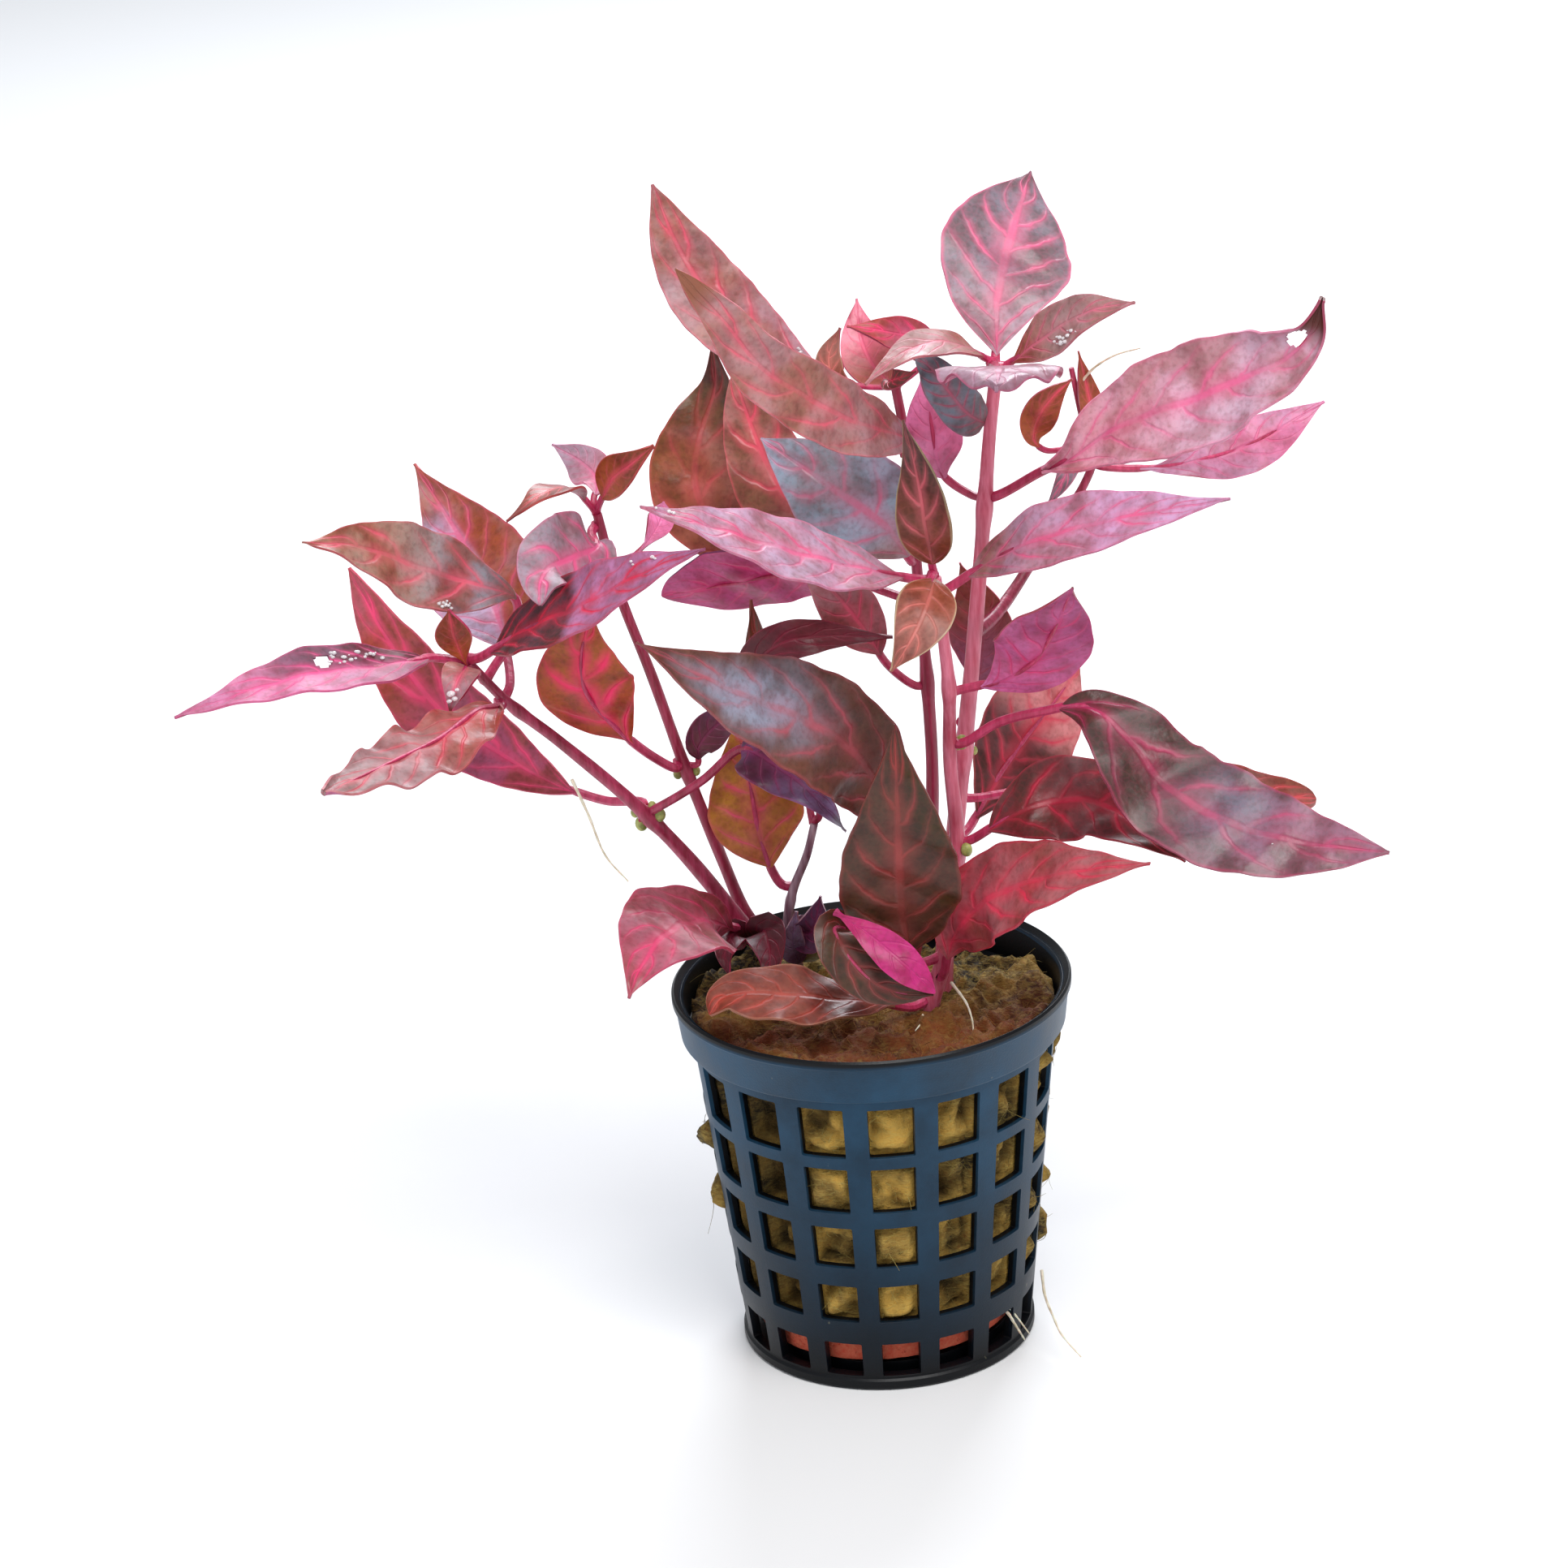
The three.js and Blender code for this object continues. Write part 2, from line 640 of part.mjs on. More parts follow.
// The stem's route, with a straight foot that goes down into the wool
function stemCurve(stem) {
  const points = stem.route.map(place);
  if (growsFromWool(stem)) {
    points.unshift(points[0].clone().add(new THREE.Vector3(0, 0, -stemDepth)));
  }
  return new THREE.CatmullRomCurve3(points);
}

function stemGeometry(stem, extra = 0) {
  const radiusAt = (share) => stemRadius(stem, share) + extra;
  return tubeGeometry(stemCurve(stem), radiusAt, stemSides, stemSteps);
}

// The pot

function wallRadius(z) {
  return THREE.MathUtils.lerp(wallFootRadius, wallTopRadius, z / collarLow);
}

function potBody() {
  const profile = [
    [0, 0],
    [footRadius, 0],
    [footRadius, footHeight],
    [wallRadius(footHeight), footHeight + edge],
    [wallTopRadius, collarLow],
    [collarRadius, collarLow + edge],
    [rimRadius, potHeight - edge],
    [rimRadius - edge, potHeight],
    [rimRadius - wall, potHeight - edge],
    [wallTopRadius - wall, collarLow],
    [wallRadius(wall) - wall, wall],
    [ledgeRadius, wall],
    [ledgeRadius, ledgeTop],
    [ledgeInner, ledgeTop],
    [ledgeInner, wall],
    [0, wall],
  ].map(([r, z]) => new THREE.Vector2(r, z));
  const lathe = new THREE.LatheGeometry(profile, potSides);
  return lathe.rotateX(Math.PI / 2).rotateZ(frontColumnTurn);
}

// A block between two radii, two heights and two angles, to cut with
function wedge(innerRadius, outerRadius, low, high, middle, spread) {
  const block = new THREE.BoxGeometry(1, 1, 1);
  const points = block.attributes.position;
  for (let i = 0; i < points.count; i++) {
    const radius = points.getX(i) < 0 ? innerRadius : outerRadius;
    const angle = middle + points.getY(i) * spread;
    const z = points.getZ(i) < 0 ? low : high;
    points.setXYZ(i, radius * Math.cos(angle), radius * Math.sin(angle), z);
  }
  return block;
}

function potGeometry() {
  const front = -Math.PI / 2 + frontColumnTurn;
  let pot = solid(potBody());
  for (let column = 0; column < columns; column++) {
    for (let row = 0; row < rows; row++) {
      const high = lowestWindowTop + row * rowPitch;
      const low = high - lowestWindowHeight - row * windowGrowth;
      const middle = front + column * columnPitch;
      pot = pot.subtract(solid(wedge(cutFrom, cutTo, low, high, middle, columnPitch * windowShare)));
    }
  }
  const slotPitch = (2 * Math.PI) / slots;
  for (let slot = 0; slot < slots; slot++) {
    const middle = front + slot * slotPitch;
    pot = pot.subtract(solid(wedge(slotFrom, slotTo, -wall, 2 * wall, middle, slotPitch * slotShare)));
  }
  return geometryOf(pot);
}

// What the pot holds

// The wool's top is uneven, and it has sunk at the back right.
function woolHeight(x, y) {
  const lumps = Math.sin(x * 0.42 + 1) * Math.cos(y * 0.37) + Math.sin(x * 0.9 - y * 0.7) / 2;
  const away = Math.hypot(x - woolDipPlace[0], y - woolDipPlace[1]) / woolDipSpread;
  return woolTop + woolLump * lumps - woolDip * Math.exp(-(away ** 2));
}

function woolGeometry() {
  const inner = (z) => wallRadius(z) - wall - fit;
  const shoulder = woolTop - 1;
  const profile = [
    [0, woolLow],
    [inner(woolLow), woolLow],
    [inner(woolMiddle), woolMiddle],
    [inner(collarLow), collarLow],
    [inner(collarLow), shoulder],
    ...woolTopRings.map((r) => [r, woolTop]),
  ].map(([r, z]) => new THREE.Vector2(r, z));
  const lathe = new THREE.LatheGeometry(profile, woolSides).rotateX(Math.PI / 2);
  const points = lathe.attributes.position;
  for (let i = 0; i < points.count; i++) {
    const [x, y, z] = [points.getX(i), points.getY(i), points.getZ(i)];
    if (z > collarLow + fit) points.setZ(i, z - woolTop + woolHeight(x, y));
  }
  return Object.values(stems)
    .filter(growsFromWool)
    .reduce((wool, stem) => wool.subtract(solid(stemGeometry(stem, fit))), solid(lathe));
}

function discGeometry() {
  const disc = new THREE.CylinderGeometry(discRadius, discRadius, discHeight, discSides);
  const lift = ledgeTop + discHeight / 2 + fit + ledgeRadius * Math.sin(discTilt);
  return disc.rotateX(Math.PI / 2).rotateY(-discTilt).translate(0, 0, lift);
}

// Assembly

const plant = new THREE.Group();

function add(name, geometry, color, roughness) {
  const mesh = new THREE.Mesh(geometry, new THREE.MeshStandardMaterial({ color, roughness, metalness: 0 }));
  mesh.name = name;
  plant.add(mesh);
}

add("net_pot", potGeometry(), "#2c333d", 0.45);
add("clay_disc", discGeometry(), "#a8402f", 0.9);
add("mineral_wool", geometryOf(woolGeometry()), "#86702f", 1);
for (const [name, stem] of Object.entries(stems)) {
  const young = (youngLeaves[name] ?? []).map((leaf) => solid(leafGeometry(leaf, youngSteps)));
  const shoot = young.reduce((whole, leaf) => whole.add(leaf), solid(stemGeometry(stem)));
  add(name, geometryOf(shoot), stem.colour, 0.5);
}
for (const [name, leaf] of Object.entries(leaves)) {
  add(name, leafGeometry(leaf, leaf.width > broadWidth ? broadSteps : slimSteps), leaf.colour, 0.4);
}
for (const [name, points] of Object.entries(roots)) {
  const radiusAt = (share) => rootRadius * (1 - rootTaper * share);
  add(name, tubeGeometry(route(points), radiusAt, rootSides, rootSteps), "#d8cfae", 0.7);
}

export default plant;
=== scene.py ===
"""A potted red-leaved water plant, dressed for a close look: veined wet leaves on ridged stems, fibrous
mineral wool and a black plastic net pot with a clay disc in its foot. Metres; sizes below are in mm."""
import math
import random

import bmesh
import bpy
import numpy as np
from mathutils import Matrix, Vector, noise


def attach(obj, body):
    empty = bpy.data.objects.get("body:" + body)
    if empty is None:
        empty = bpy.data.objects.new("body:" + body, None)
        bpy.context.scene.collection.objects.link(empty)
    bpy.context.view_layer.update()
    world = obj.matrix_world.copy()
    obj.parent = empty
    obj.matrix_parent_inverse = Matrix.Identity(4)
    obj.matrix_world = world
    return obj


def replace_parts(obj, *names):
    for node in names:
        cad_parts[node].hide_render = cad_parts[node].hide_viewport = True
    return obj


MM = 0.001

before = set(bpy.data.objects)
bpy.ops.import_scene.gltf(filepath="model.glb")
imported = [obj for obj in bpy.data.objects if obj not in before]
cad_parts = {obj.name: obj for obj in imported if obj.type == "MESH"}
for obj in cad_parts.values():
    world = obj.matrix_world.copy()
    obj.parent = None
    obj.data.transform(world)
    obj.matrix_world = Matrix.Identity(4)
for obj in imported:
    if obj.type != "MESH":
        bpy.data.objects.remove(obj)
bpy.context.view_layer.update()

# Where the photograph was taken from in mm, how its picture is turned, and the lens
EYE = np.array([-9.8, -648.0, 343.0])
EYE_DOWN = math.radians(22.22)
EYE_ROLL = math.radians(-3.43)
LENS = 125.3

# The pot, its clay disc and its wool
POT_HEIGHT, RIM_RADIUS = 50.4, 26.0
COLLAR_LOW, COLLAR_RADIUS = 44.2, 25.1
WALL_TOP_RADIUS, WALL_FOOT_RADIUS = 23.8, 18.9
FOOT_RADIUS, FOOT_HEIGHT = 19.4, 1.4
WALL = 1.2
COLUMNS, ROWS = 16, 5
WINDOW_SHARE = 0.66
FRONT_TURN = math.radians(3)
LOWEST_WINDOW_TOP, ROW_PITCH = 6.9, 8.9
LOWEST_WINDOW_HEIGHT, WINDOW_GROWTH = 4.9, 0.58
LEDGE_RADIUS, LEDGE_INNER, LEDGE_TOP = 16.4, 12.5, 2.7
DISC_RADIUS, DISC_HEIGHT, DISC_TILT = 17.3, 5.0, math.radians(2.2)
WOOL_LOW, WOOL_TOP = 8.6, 48.0
STEM_DEPTH, HIGHEST_FOOT = 9.0, 60.0

# The leaves and stems. Angles round a stalk are counted from the side that looks the way of STALK_FACE.
BLADE_THICKNESS = 0.32
BLADE_COLUMNS, BLADE_ROWS_PER_MM, LEAST_ROWS = 22, 1.9, 24
PETIOLE_RADIUS, MIDRIB_RADIUS, TIP_RADIUS = 0.62, 0.42, 0.1
LEAST_HALF_WIDTH = 0.12
WIDEST_SHARE, BLADE_TAPER, PETIOLE_SHARE, WAVE = 0.4, 1.2, 0.04, 0.25
CURL_START, CURL_STEEPNESS = 0.55, 5
TOUCHING = 0.25  # a leaf that starts this near to a stem's middle line is rooted in it already
STALK_FACE = (0.3, -1, 0)
STALK_SIDES, STEM_SIDES, STEM_GROOVES = 8, 20, 5
KNOT_SWELLING, KNOT_REACH = 0.25, 0.022

# Stems: the route, the radii at foot and top, the shares of the length where a knot swells, the skin, and
# the young leaves that haven't parted from the shoot yet, each written like one in LEAVES.
# Route points are (x, z, depth): the place on the upright plane through the pot's axis where the point
# shows from the eye, and how far behind that plane it lies on the same line of sight. All is in mm.
STEMS = {
    "stem_right": dict(
        route=[(9.4, 48.5, 2), (10.4, 60, 1), (11.6, 68.9, 1), (14.7, 91, 0),
               (17.2, 112, 0), (18.5, 124, 1), (19.8, 133.2, 1)],
        radii=(1.3, 0.8), knots=(0.45, 0.8), finish="pink_stem",
        young=[
            dict(
                rib=[(14.2, 86, 2), (16.4, 95, 6), (15.8, 101, 7), (14, 107, 6)],
                face=(-0.1, -0.9, 0.4), width=8.4, petiole=0.2, fold=10,
                top="plum_to_rust", under="rose", wave=0.2,
            ),
        ],
    ),
    "stem_front": dict(
        route=[(7.6, 45.4, -5), (10, 54, -6), (12, 67.8, -7), (11.6, 80, -8),
               (11.9, 90.4, -10), (11.5, 97, -11), (10.9, 105.2, -12)],
        radii=(1.2, 0.7), knots=(0.45, 0.78), finish="pink_stem",
    ),
    "stem_back": dict(
        route=[(5.5, 52, 10), (7.8, 62, 9), (9.2, 77, 9), (9.2, 90, 9),
               (8.6, 106, 9), (8, 123, 8), (7, 131, 8)],
        radii=(1, 0.6), knots=(0.55,), finish="dark_stem",
        young=[
            dict(
                rib=[(7.1, 130.6, 8), (3, 131, 7), (-0.4, 132.4, 7), (-1, 135.1, 8), (0.5, 138.9, 9)],
                face=(-0.2, -0.9, 0.3), width=3.6, petiole=0.4, fold=14,
                top="young_rust", under="rose", wave=0.15,
            ),
            dict(
                rib=[(7.1, 130.6, 8), (4.4, 133.6, 11), (3, 137.6, 14), (2.8, 142.5, 17)],
                face=(0, -0.9, 0.4), width=6.6, fold=12,
                top="rust_to_pink", under="hot_pink", wave=0.15,
            ),
            dict(
                rib=[(7.1, 130.6, 8), (10.6, 133.6, 8.5), (10, 136.4, 8), (6, 138, 7), (1.4, 139, 6)],
                face=(0, -0.8, 0.6), width=5, petiole=0.2, fold=10,
                top="wine_dusk", under="pink", wave=0.15,
            ),
            dict(
                rib=[(7.1, 130.6, 8), (6.4, 131.4, 4), (7.6, 131.8, 2), (9.8, 132.6, 1)],
                face=(0, -0.8, 0.6), width=2.8, petiole=0.3, fold=10,
                top="wine", under="wine", wave=0.15,
            ),
        ],
    ),
    "stem_left": dict(
        route=[(-13.4, 54, 12), (-16.3, 59.1, 12), (-22.9, 69.1, 11), (-29.5, 77.2, 8),
               (-38.4, 86.3, 5), (-44.3, 91.8, 2), (-48.8, 97.4, 0)],
        radii=(1.2, 0.6), knots=(0.5, 0.86), finish="dark_stem",
        young=[
            dict(
                rib=[(-14.2, 55.4, 12), (-13.4, 57.6, 6), (-13, 53.6, 1), (-14.4, 49.6, -2)],
                face=(0, -0.9, 0.4), width=5.4, petiole=0.1, fold=12,
                top="maroon", under="maroon", wave=0.2,
            ),
            dict(
                rib=[(-14.6, 56, 12), (-17.4, 57.6, 8), (-18.8, 54.6, 3), (-18.4, 51.6, 1)],
                face=(-0.2, -0.9, 0.4), width=4.4, petiole=0.1, fold=12,
                top="maroon", under="wine", wave=0.2,
            ),
            dict(
                rib=[(-48.9, 97, -0.2), (-50.2, 100.8, -1.6), (-50.8, 104.8, -2.5)],
                face=(-0.2, -0.9, 0.3), width=4.8, fold=16, widest=0.58,
                top="young_orange", under="rust", wave=0.15,
            ),
            dict(
                rib=[(-48.9, 97, -0.2), (-50.4, 95, -4), (-51.8, 90.6, -6)],
                face=(-0.2, -0.9, 0.3), width=5, fold=16, widest=0.3,
                top="young_mauve", under="rose", wave=0.15,
            ),
        ],
    ),
    "stem_middle": dict(
        route=[(-13.6, 56, 16), (-16.2, 61.7, 16), (-18.2, 67.9, 16), (-22.2, 81, 15),
               (-25.7, 94, 14), (-29.2, 105.9, 13), (-31.2, 116.4, 12)],
        radii=(0.9, 0.6), knots=(0.48,), finish="dark_stem",
        young=[
            dict(
                rib=[(-30, 108.4, 13), (-27.6, 109.8, 12.6), (-25.4, 112, 14), (-23.4, 114.9, 18),
                     (-22.8, 117.4, 22)],
                face=(0.2, -0.9, 0.4), width=3.6, petiole=0.3, fold=10, widest=0.6,
                top="hot_pink", under="hot_pink", wave=0.1,
            ),
        ],
    ),
    "stem_short": dict(
        route=[(-9.4, 53, 10), (-10.4, 58, 10), (-9.6, 63, 10), (-7.4, 68.3, 9.5), (-6.2, 72.6, 9)],
        radii=(0.8, 0.5), knots=(0.6,), finish="grey_stem",
        young=[
            dict(
                rib=[(-10.3, 58, 9.9), (-7.4, 57.4, 6), (-6, 62.4, 4.6)],
                face=(0, -0.9, 0.3), width=5.4, fold=12,
                top="plum", under="plum", wave=0.15,
            ),
            dict(
                rib=[(-9.3, 53, 9.4), (-9.9, 56, 6.6), (-9.2, 60.4, 5)],
                face=(0, -0.95, 0.3), width=3.6, fold=20,
                top="lavender_sheath", under="plum", wave=0.1,
            ),
            dict(
                rib=[(-9.6, 53.4, 9.6), (-6.4, 55.6, 8), (-5.8, 61, 8)],
                face=(0, -0.95, 0.3), width=2.8, fold=16,
                top="pale_green", under="pale_green", wave=0.1,
            ),
        ],
    ),
    "stem_branch": dict(
        route=[(15.6, 97.4, 0), (18, 99.4, 4), (20.8, 103, 9), (24.6, 108.8, 13), (29.9, 116.1, 16),
               (31.5, 120.5, 17), (30.2, 125.1, 16), (29, 131.9, 16)],
        radii=(0.9, 0.35), knots=(0.55,), finish="dark_stem",
        young=[
            dict(
                rib=[(31.3, 121, 17), (28.5, 121.2, 15), (25.4, 121.2, 13.6), (24, 122.8, 13),
                     (24.9, 126.1, 12), (26.9, 128.6, 12), (29.1, 130.4, 12)],
                face=(0.1, -0.95, 0.2), width=4.6, petiole=0.42, fold=10, widest=0.45,
                top="young_orange", under="rust", wave=0.15,
            ),
            dict(
                rib=[(31.2, 122.6, 17), (31.3, 126, 16), (30.7, 130, 15.6), (29.9, 134, 15.4)],
                face=(0.2, -0.9, 0.2), width=3, fold=10,
                top="young_orange", under="rose", wave=0.15,
            ),
            dict(
                rib=[(31.3, 121, 16.4), (29, 120.4, 12), (27.4, 117, 10), (25.1, 113.4, 10)],
                face=(0, -0.9, 0.4), width=3, fold=10,
                top="dusk", under="rose", wave=0.15,
            ),
        ],
    ),
}

# Leaves: the midrib's route from the stem to the tip, the way the upper face looks, the blade's greatest
# width, the share of the rib that is petiole, and the fold in degrees. widest is the share of the blade's
# length where it is widest, and a greater taper draws the rest of it in more. wave is how far the margins
# rise and fall, and curl how far they turn up, in mm. top and under name the finish of each side, and
# stalk the petiole's, where it isn't the usual one. A hole goes through the blade: its middle across, from
# -1 to 1, and along, from 0 to 1, and its reach either way. A flap is a part that is folded over.
LEAVES = {
    "leaf_left_long": dict(
        rib=[(-52.6, 98.2, -1.6), (-55, 98.1, -5), (-61.1, 97.4, -10), (-68.2, 97, -14),
             (-76.2, 95.4, -18), (-86.7, 92.4, -23)],
        face=(0, -0.4, 0.9), width=8.8, petiole=0.06, fold=14,
        top="left_long_skin", under="pink", hole=(0.42, 0.43, 0.24, 0.035), wave=0.3,
    ),
    "leaf_left_back": dict(
        rib=[(-28.2, 76.6, 11), (-32.7, 77.2, 15), (-38.8, 80, 21), (-44.9, 84.2, 26),
             (-53, 91.5, 33), (-57.8, 99.4, 37), (-62.9, 111.2, 40)],
        face=(-0.5, -0.6, 0.6), width=11, petiole=0.2, fold=12, widest=0.5, taper=0.9,
        top="wine_dusk", under="magenta",
    ),
    "leaf_left_curled": dict(
        rib=[(-44.9, 91.2, -0.4), (-48, 90.8, -7), (-53.2, 87.4, -15), (-59, 84.8, -22),
             (-63.2, 83, -27), (-68.8, 80.7, -33)],
        face=(-0.3, -0.75, 0.6), width=10.4, petiole=0.05, fold=-12, widest=0.45, taper=0.85,
        top="salmon", under="pink", wave=0.9, curl=0.5,
    ),
    "leaf_left_upper": dict(
        rib=[(-45.6, 96.4, 2.5), (-42.6, 101, 6.5), (-42.2, 105.6, 7), (-46.8, 107.7, 5.5), (-53, 110, 2),
             (-61.2, 113.7, -3.5), (-68.4, 114.9, -9)],
        face=(0, -0.75, 0.66), width=11, petiole=0.24, fold=10, widest=0.42,
        top="dusk_brown_tip", under="rose", wave=0.5,
    ),
    "leaf_left_upright": dict(
        rib=[(-43.6, 94.2, 4), (-44.6, 103.6, 16), (-46.5, 109.5, 24), (-49.5, 116.3, 31),
             (-53.6, 124.4, 36)],
        face=(-0.1, -0.9, 0.4), width=15, petiole=0.16, fold=12,
        top="lavender_brown_tip", under="rose",
    ),
    "leaf_left_inner": dict(
        rib=[(-47.2, 97.8, -2.4), (-41.2, 101.3, -8), (-34.8, 103.6, -13), (-29.2, 106.3, -17),
             (-24.3, 108.6, -20), (-18, 110.8, -24)],
        face=(0.1, -0.6, 0.8), width=11, petiole=0.06, fold=14,
        top="painted_shadow_to_pink", under="pink",
    ),
    "leaf_left_dark": dict(
        rib=[(-26.6, 75.6, 8), (-20.2, 79.2, 6), (-15.1, 83.2, 5), (-12.3, 82, 2),
             (-7.3, 77.6, -3), (-2.2, 71.2, -7)],
        face=(0.3, -0.8, 0.5), width=8.4, petiole=0.44, fold=10, widest=0.28,
        stalk="dark_stem", top="plum_lilac", under="plum", wave=0.6,
    ),
    "leaf_middle_small": dict(
        rib=[(-20.6, 81.6, 14), (-20.4, 84.1, 13), (-18.1, 86.8, 13.5), (-13.5, 89.5, 13.5)],
        face=(0.1, -0.9, 0.4), width=5, petiole=0.1, fold=10,
        top="plum", under="plum",
    ),
    "leaf_middle_drooping": dict(
        rib=[(-31.6, 114.2, 11), (-31.4, 112.2, 6), (-34.4, 110.9, 0), (-37.8, 109.4, -6),
             (-39.1, 107.2, -10), (-39.2, 104.6, -12)],
        face=(-0.1, -0.95, 0.3), width=12, petiole=0.15, fold=6, widest=0.42, taper=0.8,
        top="rose_dusk", under="rose",
    ),
    "leaf_middle_slim": dict(
        rib=[(-32, 117.6, 11.4), (-33.6, 119.4, 9), (-36.4, 119.8, 5), (-39.6, 118.2, 1),
             (-42.6, 116.1, -1)],
        face=(-0.2, -0.3, 0.95), width=4.8, petiole=0.08, fold=12,
        top="red_brown", under="rose",
    ),
    "leaf_middle_top": dict(
        rib=[(-31.4, 118, 12.6), (-30.9, 120.9, 15), (-32.7, 123.4, 18), (-36.2, 125.9, 20)],
        face=(0, -0.95, 0.3), width=5.6, petiole=0.08, fold=10,
        top="pale_mauve", under="pink",
    ),
    "leaf_middle_orange": dict(
        rib=[(-30.6, 117.8, 11), (-29, 120.6, 9), (-26.5, 122.6, 6.5), (-23.5, 124.9, 5)],
        face=(-0.4, -0.8, 0.4), width=5.4, petiole=0.06, fold=20,
        top="young_orange", under="young_orange",
    ),
    "leaf_middle_lower": dict(
        rib=[(-23.2, 81.2, 13), (-26, 82.8, 10.4), (-30.1, 86.7, 7), (-34.2, 92.4, 4),
             (-34.4, 97.9, 2), (-32.5, 103.6, 0)],
        face=(0.1, 0.95, 0.3), width=12.8, petiole=0.28, fold=8, widest=0.46, taper=1.4,
        top="rust", under="backlit_rust",
    ),
    "leaf_front_arched": dict(
        rib=[(9.6, 62, -4.6), (7, 67, -5), (2.6, 76.6, -8), (-1.4, 82.6, -12),
             (-7.6, 87.2, -16), (-16.4, 91.8, -22), (-27.4, 98.8, -30)],
        face=(0, -0.8, 0.6), width=14.6, petiole=0.1, fold=8, widest=0.45,
        top="steel", under="plum", wave=0.4,
    ),
    "leaf_front_upright": dict(
        rib=[(6.4, 52, -8.5), (4.6, 58, -14), (4.4, 67, -18), (4.6, 77, -20), (4.7, 85.6, -19)],
        face=(0, -0.98, 0.2), width=15.6, petiole=0.08, fold=10,
        top="dark_olive", under="wine", wave=0.4,
    ),
    "leaf_front_folded": dict(
        rib=[(5, 49.4, -8.6), (0.5, 55.4, -11), (-4.2, 57.6, -15), (-2.6, 53.4, -19),
             (0.4, 49.6, -21), (4, 47.8, -22.4), (8, 47.4, -23)],
        face=(0.1, -0.95, 0.3), width=6.8, petiole=0.26, fold=-8, widest=0.5,
        top="dark_olive", under="magenta",
        flap=dict(rib=[(-4.3, 60, -17.4), (-0.4, 56.9, -20), (4, 52.4, -22.6), (8.2, 47.6, -23.6)],
                  face=(0.2, -0.9, 0.35), width=4.8, fold=5, petiole=0.01, widest=0.6, taper=0.8,
                  top="flap_magenta", under="olive", wave=0.15),
    ),
    "leaf_rim_left": dict(
        rib=[(-16.6, 58.4, 9), (-20.5, 59.6, 1), (-26.4, 57.8, -12), (-30, 53.2, -19), (-31.6, 49.5, -22)],
        face=(-0.25, -0.85, 0.45), width=15, petiole=0.08, fold=8, widest=0.5,
        top="rose_mauve", under="rose", wave=0.3,
    ),
    "leaf_on_wool": dict(
        rib=[(5.4, 45.6, -8), (1.6, 46.4, -12), (-2.6, 47, -14.4), (-7.9, 47.9, -15), (-14.2, 48.9, -15.6),
             (-19.5, 48.6, -16.6), (-21.3, 46.4, -18)],
        face=(0, -0.42, 0.9), width=9.6, petiole=0.14, fold=4, widest=0.6, taper=0.8,
        top="rust_red", under="rose", wave=0.5,
    ),
    "leaf_rim_right": dict(
        rib=[(9.6, 50, -7.5), (11, 55.3, -10.6), (15.6, 60.2, -15), (21.4, 62.4, -20),
             (27.8, 63.6, -26), (36.8, 64.2, -31)],
        face=(0.1, -0.75, 0.66), width=12, petiole=0.08, fold=12,
        top="rose_red", under="rose", wave=0.35,
    ),
    "leaf_rim_right_back": dict(
        rib=[(13.4, 68.6, -8), (19.6, 72, -9), (25.4, 73.6, -9), (31, 72.6, -10),
             (35.9, 68.8, -14), (41.4, 64.2, -19)],
        face=(0.1, -0.7, 0.7), width=11.8, petiole=0.1, fold=10,
        top="wine", under="rose", wave=0.5,
    ),
    "leaf_right_broad": dict(
        rib=[(13.2, 82.2, -9.2), (18, 84.7, -11), (23.7, 85.9, -14), (29.5, 86.2, -17),
             (33.8, 82.4, -20), (38.9, 74.8, -24), (46.6, 69.3, -28), (56, 65.8, -32),
             (67.8, 63.7, -36)],
        face=(0.3, -0.75, 0.58), width=14.6, petiole=0.24, fold=6, widest=0.46, taper=0.9,
        top="dusk_rose_tip", under="rose", wave=0.3,
    ),
    "leaf_right_behind": dict(
        rib=[(14.6, 74.6, 1.5), (27, 76, 6), (40, 75, 12), (51, 72.6, 17), (58.4, 71.8, 20)],
        face=(0.1, -0.6, 0.8), width=8.4, petiole=0.24, fold=12, widest=0.55, taper=0.45,
        top="red_brown", under="rose",
    ),
    "leaf_right_purple": dict(
        rib=[(13.4, 89.6, -9), (18.5, 90.6, -10), (22.8, 92.8, -12.5), (25.6, 97, -16), (28.2, 102.7, -20)],
        face=(-0.1, 0.95, 0.2), width=12.6, petiole=0.1, fold=8, widest=0.46,
        top="rose_brown", under="orchid",
    ),
    "leaf_right_orange": dict(
        rib=[(13.4, 70, 2.5), (16.9, 76, 8), (21.4, 82.4, 15), (26, 88.2, 21), (28.5, 91.8, 26)],
        face=(-0.2, 0.95, -0.3), width=13.6, petiole=0.08, fold=8, widest=0.55, taper=0.9,
        top="rust", under="blush_tip",
    ),
    "leaf_centre_low": dict(
        rib=[(8, 90.5, 8), (4.5, 93.5, 6), (2, 98, 4.5), (-1.8, 103.7, 4), (-7, 110, 4.5)],
        face=(-0.2, -0.75, 0.6), width=7.4, petiole=0.3, fold=10,
        top="rose_brown", under="rose",
    ),
    "leaf_tip_up": dict(
        rib=[(10.7, 106.4, -12.4), (10, 112, -14), (9.2, 119.5, -13), (7.8, 126.4, -11)],
        face=(-0.3, -0.95, 0.1), width=7.2, petiole=0.04, fold=14, widest=0.32,
        top="young_brown", under="rose", wave=0.15,
    ),
    "leaf_tip_down": dict(
        rib=[(10.8, 105.2, -13.4), (9.8, 102, -18), (8, 98, -21), (4.7, 92.8, -23)],
        face=(0.1, -0.85, 0.5), width=7.6, petiole=0.04, fold=12,
        top="young_rust", under="rose", wave=0.15,
    ),
    "leaf_centre_long": dict(
